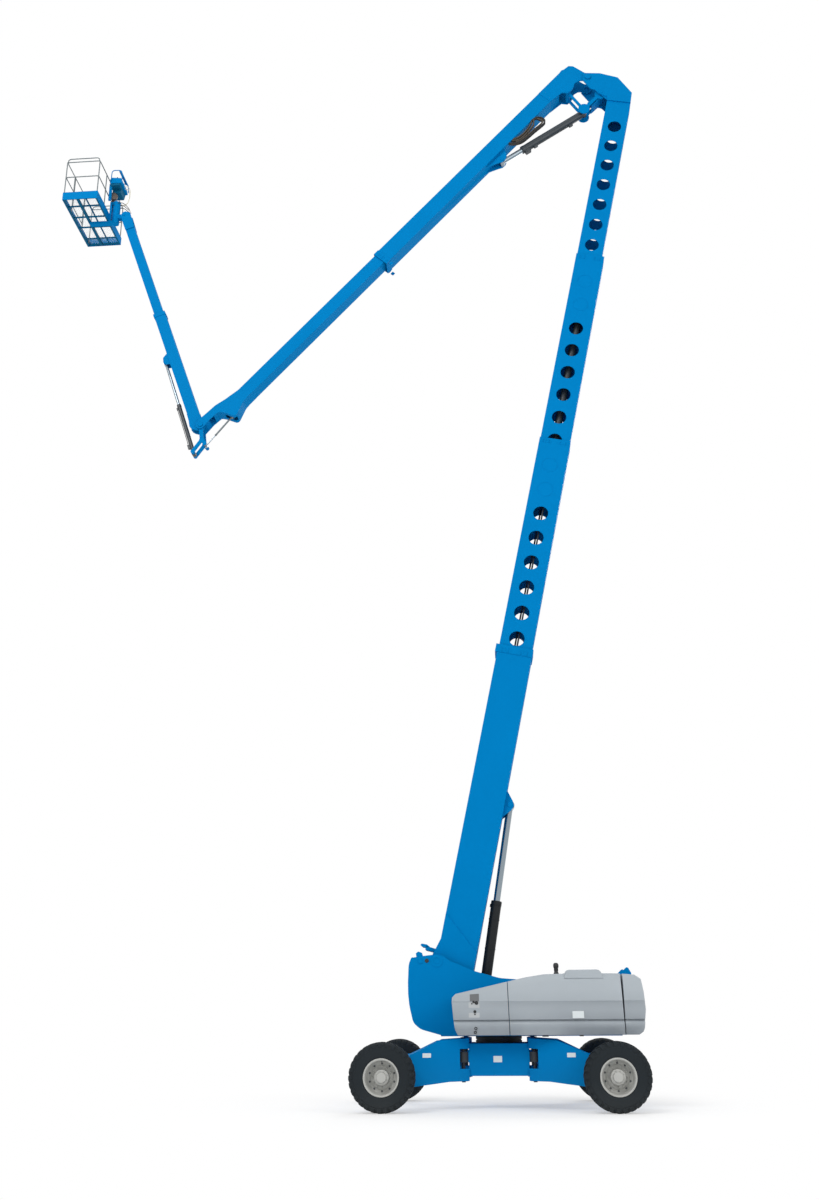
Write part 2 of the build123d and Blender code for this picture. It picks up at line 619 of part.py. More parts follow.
def platform_gate():
    x0, z = PF[0] + INSET, PF[4]
    s = None
    for h in (RAIL_TOP, z + 610, z + 200):
        c = rod_between((x0, GATE[0], h), (x0, GATE[1], h))
        s = c if s is None else s + c
    for y in GATE:
        s += rod_between((x0, y, z + 180), (x0, y, RAIL_TOP + POST_R), POST_R)
    return s


def control_console():
    x1, z = PF[1], PF[4]
    c = plate([(x1 + 5, z + 820), (x1 + 5, z + 960), (x1 + 60, z + 1180), (x1 + 240, z + 1100),
               (x1 + 330, z + 850), (x1 + 300, z + 640), (x1 + 120, z + 640)], -240, 240)
    c -= plate([(x1 + 15, z + 830), (x1 + 68, z + 1160), (x1 + 225, z + 1090),
                (x1 + 312, z + 850), (x1 + 290, z + 655), (x1 + 125, z + 655)], -228, 228)
    for y in (-200, 160):
        c += bx(x1 - INSET + RR + RUN, x1 + 60, y, y + 40, z + 590, z + 860)
    return c


def pieces():
    out = {"chassis_box": chassis_box(), "slew_ring": slew_ring(), "hinge_pins": hinge_pins()}
    for n, (sx, sy) in CORNERS.items():
        out["axle_arm_" + n] = axle_arm(sx, sy)
        out["knuckle_" + n] = knuckle(sx, sy)
        out["rim_" + n] = rim(sx, sy)
        out["tyre_" + n] = tyre(sx, sy)
    out["turntable_frame"] = turntable_frame()
    out["counterweight"] = counterweight()
    out["boom_rest"] = boom_rest()
    out["rest_pad"] = rest_pad()
    out["engine_block"] = engine_block()
    out["tank_block"] = tank_block()
    out["front_cowls"] = front_cowls()
    out["cowl_door_near"] = cowl_door(-1)
    out["cowl_door_far"] = cowl_door(1)
    out["beacon"] = beacon()
    out["lift_barrel"], out["lift_rod"] = lift_parts()
    out["primary_base"] = primary_base()
    out["primary_second"] = primary_tube(SECOND, "second", BASE)
    out["primary_third"] = primary_tube(THIRD, "third", SECOND)
    out["primary_fly"] = primary_tube(FLY, "fly", THIRD)
    out["extend_cylinder"] = extend_cylinder()
    out["service_rods"] = service_rods()
    out["elbow_head"] = elbow_head()
    out["link_a"], out["link_b"] = link_a(), link_b()
    out["fold_barrel"], out["fold_rod"] = sec_cyl_parts()
    out["secondary_base"] = secondary_base()
    out["secondary_fly"] = secondary_fly()
    out["jib_bellcrank"] = jib_bellcrank()
    out["level_barrel"], out["level_rod"] = level_parts()
    out["jib_base"] = jib_base()
    out["jib_fly"] = jib_fly()
    out["jib_barrel"], out["jib_rod"] = jib_cyl_parts()
    out["platform_mount"] = platform_mount()
    out["platform_support"] = platform_support()
    out["platform_floor"] = platform_floor()
    out["platform_rails"] = platform_rails()
    out["platform_gate"] = platform_gate()
    out["control_console"] = control_console()
    return out


def main():
    os.makedirs("parts", exist_ok=True)
    for name, shape in pieces().items():
        solids = shape.solids()
        body = solids[0] if len(solids) == 1 else Compound(children=list(solids))
        body.label = name
        export_step(body, "parts/" + name + ".step")
        print(name, len(solids), round(sum(s.volume for s in solids) / 1e9, 4))


if __name__ == "__main__":
    main()
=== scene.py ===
"""Articulating boom lift: the visible machine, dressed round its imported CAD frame."""
import json
import math
import random

import bmesh
import bpy
from mathutils import Matrix, Vector


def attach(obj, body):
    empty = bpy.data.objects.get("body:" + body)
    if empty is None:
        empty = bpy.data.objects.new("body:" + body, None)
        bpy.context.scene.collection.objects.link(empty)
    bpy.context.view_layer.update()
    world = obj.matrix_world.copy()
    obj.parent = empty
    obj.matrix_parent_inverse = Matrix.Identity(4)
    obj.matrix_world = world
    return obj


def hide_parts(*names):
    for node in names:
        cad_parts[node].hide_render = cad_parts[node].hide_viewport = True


bl_info = {
    "name": "Articulating Boom Lift",
    "version": (1, 0, 0),
    "blender": (4, 5, 0),
    "location": "View3D > Sidebar > Boom Lift",
    "description": "Builds the visible pieces of an articulating boom lift on its CAD frame",
    "category": "Add Mesh",
}

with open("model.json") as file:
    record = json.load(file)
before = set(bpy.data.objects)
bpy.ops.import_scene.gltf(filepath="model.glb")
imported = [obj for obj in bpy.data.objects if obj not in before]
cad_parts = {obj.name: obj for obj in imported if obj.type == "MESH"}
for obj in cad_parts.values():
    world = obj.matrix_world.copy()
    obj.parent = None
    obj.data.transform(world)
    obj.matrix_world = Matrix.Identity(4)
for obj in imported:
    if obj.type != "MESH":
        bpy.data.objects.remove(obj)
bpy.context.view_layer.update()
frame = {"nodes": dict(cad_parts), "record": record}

# ---- where things are, in metres: pivots (x, z) and boom angles -------------
PRIMARY, PRIMARY_ANGLE = (-1.120, 2.550), 77.7
LIFT_FOOT, LIFT_HEAD = (-0.330, 1.550), (0.3503, 5.5097)
ELBOW, SECONDARY_ANGLE = (2.660, 23.330), 227.7     # origin of the secondary's drawing
ELBOW_PIN, LINK_HEAD = (2.876, 23.406), (3.164, 22.929)
LINK_PIN, FOLD_FOOT = (2.743, 22.515), (0.697, 21.186)
LEVEL_HEAD, LEVEL_FOOT = (-5.674, 14.527), (-6.244, 13.802)
JIB_FOOT, JIB_ANGLE = (-6.360, 14.265), 109.75
WHEEL_R, WHEEL_X, WHEEL_Y = 0.575, 2.020, 1.680
TYRE_WIDTH = 0.445
CORNERS = {"front_near": (-1, -1), "front_far": (-1, 1),
           "rear_near": (1, -1), "rear_far": (1, 1)}
HINGE = (0.640, 0.780)
KINGPIN = (2.020, 1.220)
HOLE_R, HOLE_STEP, HOLE_N = 0.165, 0.574, -0.335
DECK = (-9.870, -9.010, -0.915, 0.915, 20.150)      # platform floor: x, x, y, y, top
TOE, MESH_PITCH, MESH_WIRE, RAIL_TUBE = 0.006, 0.040, 0.0022, 0.025
POST_IN = 0.026                                     # rail posts and floor frame, in from the edge
GATE = (-0.330, 0.330)                              # the gate's own posts, along y
GATE_POST = 0.036                                   # from each of them to the fence's post
COWL_FOOT = 1.241                                   # underside of the cowls
COWL_HALF, DOOR_HALF = 1.195, 1.200                 # half widths over the cowls and the doors


# ---- settings a user would change ------------------------------------------
class PaintSettings(bpy.types.PropertyGroup):
    """Colours of the machine, as sRGB hex values"""
    boom: bpy.props.StringProperty(
        name="Boom paint", description="Enamel on the booms and frames", default="#0079BA")
    cowl: bpy.props.StringProperty(
        name="Cowl", description="Moulded engine and tank covers", default="#A7AFB5")
    tyre: bpy.props.StringProperty(
        name="Tyre", description="Tyre rubber", default="#22282C")
    rim: bpy.props.StringProperty(
        name="Rim", description="Wheel rims and hubs", default="#B9BAB6")
    rail: bpy.props.StringProperty(
        name="Rails", description="Platform rails", default="#6C7578")
    floor: bpy.props.StringProperty(
        name="Studio floor", description="Floor and backdrop", default="#FEFEFE")


class SizeSettings(bpy.types.PropertyGroup):
    """Sizes of the dressed pieces"""
    lug_height: bpy.props.FloatProperty(
        name="Lug height", description="Height of the tyre's tread lugs",
        default=0.019, unit="LENGTH")
    lugs: bpy.props.IntProperty(
        name="Lugs", description="Tread lugs on each side of a tyre", default=29)
    cowl_round: bpy.props.FloatProperty(
        name="Cowl rounding", description="Radius of the cowls' outer edges",
        default=0.11, unit="LENGTH")
    hose: bpy.props.FloatProperty(
        name="Hose size", description="Size that each hose's thickness is a share of",
        default=0.026, unit="LENGTH")


# ---- small tools ------------------------------------------------------------
def linear(hexcode):
    """One sRGB hex colour as linear RGBA."""
    h = hexcode.lstrip("#")
    rgb = [int(h[i:i + 2], 16) / 255 for i in (0, 2, 4)]
    return (*[c / 12.92 if c <= 0.04045 else ((c + 0.055) / 1.055) ** 2.4 for c in rgb], 1.0)


def add_node(tree, kind, settings=None, links=None):
    """Adds a node; settings fill its properties or sockets, links feed its sockets."""
    made = tree.nodes.new(kind)
    for key, value in (settings or {}).items():
        if isinstance(key, str) and hasattr(made, key):
            setattr(made, key, value)
        else:
            made.inputs[key].default_value = value
    for key, source in (links or {}).items():
        tree.links.new(source, made.inputs[key])
    return made


def direct_rays(tree):
    """Output that is 1 for rays from the camera, mirrors and glass, and 0 for the rest."""
    rays = add_node(tree, "ShaderNodeLightPath")
    sharp = add_node(tree, "ShaderNodeMath", {"operation": "MAXIMUM"},
                     {0: rays.outputs["Is Glossy Ray"], 1: rays.outputs["Is Transmission Ray"]})
    seen = add_node(tree, "ShaderNodeMath", {"operation": "MAXIMUM"},
                    {0: rays.outputs["Is Camera Ray"], 1: sharp.outputs[0]})
    return seen.outputs[0]


def circle(count, radius, start=0.0):
    """Places spaced evenly round a circle, the first at start degrees."""
    for k in range(count):
        a = math.radians(start + 360 / count * k)
        yield radius * math.cos(a), radius * math.sin(a)


def boom_frame(pivot, angle):
    """Frame at a boom's pivot: X along the boom, Z across it."""
    return Matrix.Translation((pivot[0], 0, pivot[1])) @ Matrix.Rotation(
        -math.radians(angle), 4, "Y")


FRAMES = {"world": Matrix(), "primary": boom_frame(PRIMARY, PRIMARY_ANGLE),
          "secondary": boom_frame(ELBOW, SECONDARY_ANGLE),
          "jib": boom_frame(JIB_FOOT, JIB_ANGLE)}


class Shape:
    """A mesh under construction, in one of the boom frames."""

    def __init__(self, place="world"):
        self.bm = bmesh.new()
        self.at = FRAMES[place] if isinstance(place, str) else place

    def _v(self, p):
        """Vertex at a point of the shape's own frame."""
        return self.bm.verts.new(self.at @ Vector(p))

    def face(self, verts):
        """Face over the vertices; one that is there already is left as it is."""
        try:
            self.bm.faces.new(verts)
        except ValueError:
            pass

    def prism(self, pts, y0, y1):
        """(x, z) polygon drawn from y0 to y1."""
        a = [self._v((x, y0, z)) for x, z in pts]
        b = [self._v((x, y1, z)) for x, z in pts]
        self.face(a)
        self.face(b[::-1])
        for i in range(len(pts)):
            j = (i + 1) % len(pts)
            self.face((a[j], a[i], b[i], b[j]))
        return self

    def block(self, x0, x1, y0, y1, z0, z1):
        """Box between the given limits."""
        return self.prism([(x0, z0), (x1, z0), (x1, z1), (x0, z1)], y0, y1)

    def panel(self, x0, x1, z0, z1, corner, y0, y1):
        """Upright plate with round corners."""
        return self.prism(rounded([(x0, z0), (x1, z0), (x1, z1), (x0, z1)], corner, 3), y0, y1)

    def lathe(self, profile, origin, axis, n=48, closed=True):
        """Profile of (radius, height) turned about axis through origin."""
        ax = Vector(axis).normalized()
        side = ax.orthogonal().normalized()
        up = ax.cross(side)
        rings = []
        for k in range(n):
            t = 2 * math.pi * k / n
            d = side * math.cos(t) + up * math.sin(t)
            rings.append([self._v(Vector(origin) + d * r + ax * h) for r, h in profile])
        m = len(profile)
        for k in range(n):
            a, b = rings[k], rings[(k + 1) % n]
            for i in range(m if closed else m - 1):
                j = (i + 1) % m
                self.face((a[i], a[j], b[j], b[i]))
        if not closed:
            self.face([r[0] for r in rings])
            self.face([r[-1] for r in rings][::-1])
        return self

    def cap(self, origin, axis, r, rise, crown, height, n=24):
        """Pin cap: a disc of radius r and height rise, bevelled in to radius crown."""
        return self.lathe([(0, 0), (r, 0), (r, rise), (crown, height), (0, height)], origin,
                          axis, n, False)

    def rod(self, a, b, r, n=20):
        """Round bar from a to b."""
        a, b = Vector(a), Vector(b)
        return self.lathe([(r, 0), (r, (b - a).length)], a, b - a, n, False)

    def ring(self, a, b, r, hole, n=32):
        """Round sleeve from a to b with a hole through it."""
        a, b = Vector(a), Vector(b)
        h = (b - a).length
        return self.lathe([(hole, 0), (r, 0), (r, h), (hole, h)], a, b - a, n)

    def sweep(self, points, r, n=10, rounds=6):
        """Tube along a smooth line through the points."""
        pts = [Vector(p) for p in points]
        line = []
        for i in range(len(pts) - 1):
            p0, p1 = pts[max(i - 1, 0)], pts[i]
            p2, p3 = pts[i + 1], pts[min(i + 2, len(pts) - 1)]
            for k in range(rounds):
                t = k / rounds
                line.append(0.5 * ((2 * p1) + (p2 - p0) * t
                                   + (2 * p0 - 5 * p1 + 4 * p2 - p3) * t * t
                                   + (3 * p1 - p0 - 3 * p2 + p3) * t ** 3))
        line.append(pts[-1])
        side = (line[1] - line[0]).orthogonal().normalized()
        rings = []
        for i, p in enumerate(line):
            d = (line[min(i + 1, len(line) - 1)] - line[max(i - 1, 0)]).normalized()
            side = (side - d * side.dot(d)).normalized()
            up = d.cross(side)
            rings.append([self._v(p + side * (r * math.cos(2 * math.pi * k / n))
                                  + up * (r * math.sin(2 * math.pi * k / n)))
                          for k in range(n)])
        for a, b in zip(rings, rings[1:]):
            for k in range(n):
                j = (k + 1) % n
                self.face((a[k], a[j], b[j], b[k]))
        self.face(rings[0][::-1])
        self.face(rings[-1])
        return self

    def link(self, a, b, w, y0, y1, n=24):
        """Flat bar with round ends between two (x, z) points."""
        a, b = Vector(a), Vector(b)
        t = math.atan2(b.y - a.y, b.x - a.x)
        r = w / 2
        pts = []
        for c, start in ((b, t - math.pi / 2), (a, t + math.pi / 2)):
            for k in range(n // 2 + 1):
                s = start + math.pi * k / (n // 2)
                pts.append((c.x + r * math.cos(s), c.y + r * math.sin(s)))
        return self.prism(pts, y0, y1)

    def bolt(self, p, axis, r=0.014, h=0.012):
        """Six-sided bolt head."""
        p = Vector(p)
        return self.lathe([(r, 0), (r, h * 0.8), (r * 0.85, h)], p, axis, 6, False)


def piece(shape, name, material, body, slot, bevel=0.0, segments=2, replaces=(), smooth=35.0):
    """Turns a shape into a piece that rides on a body."""
    bm = shape.bm
    bmesh.ops.remove_doubles(bm, verts=bm.verts, dist=1e-6)
    bmesh.ops.recalc_face_normals(bm, faces=bm.faces)
    mesh = bpy.data.meshes.new(name)
    bm.to_mesh(mesh)
    bm.free()
    obj = bpy.data.objects.new(name, mesh)
    bpy.context.scene.collection.objects.link(obj)
    mesh.materials.append(material)
    if bevel:
        mod = obj.modifiers.new("rounded edges", "BEVEL")
        mod.width, mod.segments, mod.limit_method = bevel, segments, "ANGLE"
        mod.angle_limit = math.radians(28)
        mod.harden_normals = True
    for poly in mesh.polygons:
        poly.use_smooth = True
    mesh.set_sharp_from_angle(angle=math.radians(smooth))
    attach(obj, body)
    if replaces:
        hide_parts(*replaces)
    return obj


# ---- materials ---------------------------------------------------------------
def surface(name, colour, rough, metallic=0.0, grain=None, bump=0.0, tint=0.12,
            dust_and_shade=None, specular=None):
    """A named finish: noise at a real scale moves colour, gloss and bump. The last argument is a
    colour, the height in metres up to which it shows, and its strength at the ground: dust on the
    tyres, painted shade on the cowls."""
    mat = bpy.data.materials.new(name)
    mat.use_nodes = True
    tree = mat.node_tree
    shader = tree.nodes["Principled BSDF"]
    shader.inputs["Metallic"].default_value = metallic
    if specular is not None:
        shader.inputs["Specular IOR Level"].default_value = specular
    place = add_node(tree, "ShaderNodeTexCoord")
    broad = add_node(tree, "ShaderNodeTexNoise", {"Scale": 1.3, "Detail": 5.0},
                     {"Vector": place.outputs["Object"]})
    base = linear(colour)
    dark = tuple(c * (1 - tint) for c in base[:3]) + (1,)
    light = tuple(min(1, c * (1 + tint * 0.6)) for c in base[:3]) + (1,)
    ramp = add_node(tree, "ShaderNodeMix", {"data_type": "RGBA", 6: dark, 7: light},
                    {0: broad.outputs["Fac"]})
    out = ramp.outputs[2]
    # low parts mixed towards a second colour: real dust on the tyres, painted shade on the cowls
    if dust_and_shade:
        height = add_node(tree, "ShaderNodeSeparateXYZ", None, {0: place.outputs["Object"]})
        low = add_node(tree, "ShaderNodeMapRange",
                       {"From Min": dust_and_shade[1], "From Max": 0.0, "To Min": 0.0, "To Max": dust_and_shade[2]},
                       {"Value": height.outputs["Z"]})
        patch = add_node(tree, "ShaderNodeMath", {"operation": "MULTIPLY"},
                         {0: low.outputs[0], 1: broad.outputs["Fac"]})
        dust_and_shade_mix = add_node(tree, "ShaderNodeMix", {"data_type": "RGBA", 7: linear(dust_and_shade[0])},
                         {0: patch.outputs[0], 6: out})
        out = dust_and_shade_mix.outputs[2]
    tree.links.new(out, shader.inputs["Base Color"])
    fine = add_node(tree, "ShaderNodeTexNoise", {"Scale": 1.0 / (grain or 0.02), "Detail": 3.0},
                    {"Vector": place.outputs["Object"]})
    gloss = add_node(tree, "ShaderNodeMapRange",
                     {"To Min": max(rough - 0.07, 0.02), "To Max": min(rough + 0.09, 1.0)},
                     {"Value": fine.outputs["Fac"]})
    tree.links.new(gloss.outputs[0], shader.inputs["Roughness"])
    if bump:
        relief = add_node(tree, "ShaderNodeBump", {"Strength": 0.5, "Distance": bump},
                          {"Height": fine.outputs["Fac"]})
        tree.links.new(relief.outputs["Normal"], shader.inputs["Normal"])
    return mat


MATERIALS = {}


def finishes(paint):
    """Every finish on the machine, keyed by a short word."""
    MATERIALS.update({
        # two-pack enamel sprayed on welded steel: even gloss, faint orange peel of about 8 mm
        "boom": surface("sprayed_blue_enamel", paint.boom, 0.50, grain=0.008, bump=0.0004,
                        tint=0.07, specular=0.012, dust_and_shade=("#35688A", 1.1, 0.25)),
        # gel-coated glass-fibre moulding: satin, slightly mottled; below 2 m it darkens towards the
        # bottom as painted shade of the lower walls
        "cowl": surface("moulded_grey_gelcoat", paint.cowl, 0.36, grain=0.012, bump=0.0003,
                        tint=0.05, specular=0.42, dust_and_shade=("#5B626C", 2.0, 2.0)),
        # carbon-black rubber, dull and dusty in the low parts
        "tyre": surface("moulded_tyre_rubber", paint.tyre, 0.82, grain=0.006, bump=0.0012,
                        tint=0.20, specular=0.20, dust_and_shade=("#4A4C4B", 0.5, 0.35)),
        # silver enamel on cast steel
        "rim": surface("silver_enamel_on_cast_steel", paint.rim, 0.45, grain=0.01,
                       bump=0.0008, tint=0.14, dust_and_shade=("#6F6B62", 1.2, 0.5)),
        # hard chrome plate, ground and polished
        "chrome": surface("ground_hard_chrome", "#8E9AA2", 0.20, 1.0, grain=0.004, tint=0.05),
        # black enamel on drawn tube
        "barrel": surface("dark_enamel_on_drawn_tube", "#2A3238", 0.42, grain=0.006,
                          bump=0.0004, tint=0.2),
        # black enamel on the lift cylinder's drawn tube, duller than the small cylinders
        "lift": surface("black_enamel_on_drawn_tube", "#13171A", 0.5, grain=0.006, bump=0.0004,
                        tint=0.2, specular=0.25),
        # the boom enamel, matt, darkened as painted shade: members under the platform and under the
        # console
        "under": surface("blue_enamel_with_painted_shade", "#0A5C80", 0.6, grain=0.010, bump=0.0008,
                         tint=0.15, specular=0.05),
        # silver enamel darkened as painted shade, for the hand holes of the wheel discs, drawn as
        # flat discs, and for the valve
        "recess": surface("silver_enamel_with_painted_shade", "#54575A", 0.7, grain=0.01, tint=0.2),
        # woven nylon sleeve over hoses, sun-bleached brown
        "sleeve": surface("woven_nylon_sleeve", "#4E473E", 0.8, grain=0.003, bump=0.0008,
                          tint=0.3),
        # sand-cast aluminium left bare, weathered brown
        "alloy": surface("weathered_bare_aluminium_casting", "#5E554F", 0.55, 0.3, grain=0.004,
                         bump=0.0008, tint=0.3),
        # grey vinyl film over the ground controls, and a darker copy whose darkness is painted
        # shade under the recessed panel's top
        "film": surface("blank_grey_vinyl", "#B2B6B8", 0.5, grain=0.02, tint=0.05),
        "film_dark": surface("grey_vinyl_with_painted_shade", "#66686A", 0.5, grain=0.02, tint=0.08),
        # cast iron, painted dark
        "cast": surface("dark_cast_iron", "#23282C", 0.6, grain=0.01, bump=0.0015, tint=0.25),
        # aluminium tube under a clear coat
        "rail": surface("clear_coated_aluminium_tube", paint.rail, 0.38, 0.35, grain=0.01,
                        tint=0.08),
        # nitrile hose cover, matt black
        "hose": surface("nitrile_hose_cover", "#1C1F22", 0.7, grain=0.004, bump=0.0006,
                        tint=0.2),
        # moulded ABS in black
        "abs": surface("moulded_black_abs", "#1B1D1F", 0.5, grain=0.003, bump=0.0004, tint=0.15),
        # blank printed plates: white vinyl film
        "plate": surface("blank_white_vinyl", "#D9E0E2", 0.45, grain=0.02, tint=0.05),
        # galvanised steel of the floor's mesh
        "mesh": surface("galvanised_expanded_sheet", "#B9C6CC", 0.5, 0.4, grain=0.01, tint=0.15),
        # off-white nylon sleeve of the console's cables
        "nylon": surface("white_cast_nylon", "#CFC9B4", 0.5, grain=0.01, tint=0.1),
    })


SLOT_FINISH = {"boom_paint": "boom", "cover": "cowl", "cast": "cast", "rod_chrome": "chrome",
               "barrel_paint": "barrel", "rim_paint": "rim", "tyre": "tyre",
               "rail_alu": "rail", "engine": "cast", "tank": "abs", "black_plastic": "abs"}


# ---- stage --------------------------------------------------------------------
CAMERA = {"place": (0.2281, -23.4847, 1.5152), "pitch": 19.66, "yaw": 4.5227, "roll": -0.3241,
          "lens": 35.2216}


class BOOMLIFT_OT_stage(bpy.types.Operator):
    """Floor, backdrop, lamps, world and camera"""
    bl_idname = "boomlift.stage"
    bl_label = "Stage"

    def execute(self, context):
        scene = context.scene
        scene.view_settings.view_transform = "Standard"
        paint = scene.boomlift_paint
        pitch, yaw, roll = (math.radians(CAMERA[k]) for k in ("pitch", "yaw", "roll"))
        forward = Vector((-math.sin(yaw) * math.cos(pitch), math.cos(yaw) * math.cos(pitch),
                          math.sin(pitch)))
        level = Vector((math.cos(yaw), math.sin(yaw), 0))
        rise = level.cross(forward)
        right = level * math.cos(roll) + rise * math.sin(roll)
        up = rise * math.cos(roll) - level * math.sin(roll)
        cam = bpy.data.cameras.new("camera")
        cam.lens, cam.sensor_width, cam.clip_end = CAMERA["lens"], 36.0, 500.0
        obj = bpy.data.objects.new("camera", cam)
        seat = Matrix((right, up, -forward)).transposed().to_4x4()
        seat.translation = CAMERA["place"]
        obj.matrix_world = seat
        scene.collection.objects.link(obj)
        scene.camera = obj

        world = bpy.data.worlds.new("studio")
        scene.world = world
        world.use_nodes = True
        tree = world.node_tree
        tree.nodes.clear()
        soft = add_node(tree, "ShaderNodeBackground", {"Color": (1, 1, 1, 1), "Strength": 0.62})
        white = add_node(tree, "ShaderNodeBackground", {"Color": (1, 1, 1, 1), "Strength": 1.0})
        mix = add_node(tree, "ShaderNodeMixShader", None,
                       {0: direct_rays(tree), 1: soft.outputs[0], 2: white.outputs[0]})
        add_node(tree, "ShaderNodeOutputWorld", None, {0: mix.outputs[0]})

        for name, place, aim, size, power in (
                ("key lamp", (-14, -26, 30), (0, 0, 8), 16, 5200),
                ("fill lamp", (20, -18, 14), (0, 0, 6), 14, 1500),
                ("back lamp", (6, 22, 26), (0, 0, 10), 16, 2600)):
            light = bpy.data.lights.new(name, "AREA")
            light.energy, light.size = power, size
            lamp = bpy.data.objects.new(name, light)
            lamp.location = place
            lamp.rotation_mode = "QUATERNION"
            lamp.rotation_quaternion = (Vector(aim) - Vector(place)).to_track_quat("-Z", "Y")
            scene.collection.objects.link(lamp)

        slab = Shape().block(-200, 200, -200, 200, -0.02, 0.0)
        mesh = bpy.data.meshes.new("studio_floor")
        slab.bm.to_mesh(mesh)
        slab.bm.free()
        ground = bpy.data.objects.new("studio_floor", mesh)
        scene.collection.objects.link(ground)
        mat = bpy.data.materials.new("matt_white_studio_floor")
        mat.use_nodes = True
        tree = mat.node_tree
        shader = tree.nodes["Principled BSDF"]
        shader.inputs["Base Color"].default_value = linear(paint.floor)
        shader.inputs["Roughness"].default_value = 1.0
        shader.inputs["Specular IOR Level"].default_value = 0.0
        # near the machine the floor takes its shadow; further off it fades to plain white
        place = add_node(tree, "ShaderNodeTexCoord")
        dist = add_node(tree, "ShaderNodeVectorMath", {"operation": "LENGTH"},
                        {0: place.outputs["Object"]})
        far = add_node(tree, "ShaderNodeMapRange",
                       {"From Min": 2.6, "From Max": 7.0, "To Min": 0.42},
                       {"Value": dist.outputs["Value"]})
        only = add_node(tree, "ShaderNodeMath", {"operation": "MULTIPLY"},
                        {0: far.outputs[0], 1: direct_rays(tree)})
        glow = add_node(tree, "ShaderNodeEmission", {"Color": (1, 1, 1, 1), "Strength": 1.0})
        mix = add_node(tree, "ShaderNodeMixShader", None,
                       {0: only.outputs[0], 1: shader.outputs[0], 2: glow.outputs[0]})
        tree.links.new(mix.outputs[0], tree.nodes["Material Output"].inputs["Surface"])
        mesh.materials.append(mat)
        return {"FINISHED"}


class BOOMLIFT_OT_finishes(bpy.types.Operator):
    """Makes the finishes and gives each CAD node its own"""
    bl_idname = "boomlift.finishes"
    bl_label = "Finishes"

    def execute(self, context):
        finishes(context.scene.boomlift_paint)
        for name, obj in frame["nodes"].items():
            finish = MATERIALS[SLOT_FINISH[SLOT_OF[name]]]
            for s in obj.material_slots:
                s.material = finish
            if not obj.material_slots:
                obj.data.materials.append(finish)
        return {"FINISHED"}


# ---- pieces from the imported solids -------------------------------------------
BODY_OF = {n: b for b, nodes in frame["record"]["behaviour"]["bodies"].items() for n in nodes}
SLOT_OF = {s["node"]: s["material_slot"] for s in frame["record"]["subparts"]}


def from_cad(shape, name):
    """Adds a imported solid's own surface to a shape."""
    src = frame["nodes"][name]
    mesh = src.data.copy()
    mesh.transform(src.matrix_world)
    shape.bm.from_mesh(mesh)
    bpy.data.meshes.remove(mesh)
    return shape


def dress(name, finish, bevel=0.004, soften=0.0):
    """A node's solid with its flats joined, the blunt corners of its plates drawn round and
    its edges broken."""
    shape = from_cad(Shape(), name)
    bm = shape.bm
    bmesh.ops.remove_doubles(bm, verts=bm.verts, dist=1e-5)
    bmesh.ops.dissolve_limit(bm, angle_limit=math.radians(1.0), verts=bm.verts, edges=bm.edges)
    if soften:
        blunt = []
        for e in bm.edges:
            d = e.verts[1].co - e.verts[0].co
            if len(e.link_faces) != 2 or abs(d.y) < 0.995 * d.length:
                continue
            turn = e.link_faces[0].normal.angle(e.link_faces[1].normal, 0)
            wide = min(min(l.calc_length() for l in f.edges if l is not e and not l.is_boundary
                           and set(l.verts) & set(e.verts)) for f in e.link_faces)
            if math.radians(6) < turn < math.radians(70) and wide > 0.06:
                blunt.append(e)
        bmesh.ops.bevel(bm, geom=blunt, offset=soften, segments=5, profile=0.5, affect="EDGES",
                        clamp_overlap=True)
    return redraw(shape, "dressed_" + name, finish, name, bevel=bevel)


def redraw(shape, name, finish, node, **form):
    """A piece that is drawn anew and stands for a node."""
    return piece(shape, name, MATERIALS[finish], BODY_OF[node], SLOT_OF[node],
                 replaces=(node,), **form)


def detail(shape, name, finish, node, bevel=0.0, slot=None):
    """A small piece that rides with a node."""
    return piece(shape, name, MATERIALS[finish], BODY_OF[node], slot or SLOT_OF[node],
                 bevel=bevel)


def bend(points, radius, n=5):
    """Open line in space with each inner corner turned to a curve."""
    out = [Vector(points[0])]
    for a, p, b in zip(points, points[1:], points[2:]):
        a, p, b = Vector(a), Vector(p), Vector(b)
        u = (a - p).normalized() * min(radius, 0.45 * (a - p).length)
        v = (b - p).normalized() * min(radius, 0.45 * (b - p).length)
        for k in range(n + 1):
            t = k / n
            out.append(p + u * (1 - t) ** 2 + v * t ** 2)
    out.append(Vector(points[-1]))
    return out


def rounded(points, radius, n=6):
    """Polygon with each corner turned to an arc."""
    out = []
    m = len(points)
    for i, p in enumerate(points):
        p, a, b = Vector(p), Vector(points[i - 1]), Vector(points[(i + 1) % m])
        u, v = (a - p).normalized(), (b - p).normalized()
        turn = math.pi - u.angle(v)
        if turn < math.radians(4):
            out.append(tuple(p))
            continue
        reach = min(radius * math.tan(turn / 2), 0.45 * (a - p).length, 0.45 * (b - p).length)
        r = reach / math.tan(turn / 2)
        centre = p + (u + v).normalized() * (r / math.cos(turn / 2))
        s, e = p + u * reach - centre, p + v * reach - centre
        for k in range(n + 1):
            d = s.lerp(e, k / n).normalized() * r
            out.append(tuple(centre + d))
    return out


# side form of the cowls: (height, how far the wall stands in from its fullest line)
SIDE_FORM = [(2.30, 0.110), (2.15, 0.072), (1.98, 0.040), (1.812, 0.020), (1.804, 0.029),
             (1.66, 0.027), (1.514, 0.030), (1.502, 0.034), (1.492, 0.072), (1.480, 0.074),
             (1.470, 0.036), (1.442, 0.006), (1.420, 0.001), (1.400, 0.000), (1.378, 0.002),
             (1.348, 0.010), (1.305, 0.023), (1.270, 0.033), (1.240, 0.041)]


def side_form(z):
    """Inset of a cowl's side wall at height z."""
    for (z1, d1), (z0, d0) in zip(SIDE_FORM, SIDE_FORM[1:]):
        if z >= z0:
            return d0 + (d1 - d0) * min((z - z0) / (z1 - z0), 1.0)
    return SIDE_FORM[-1][1]


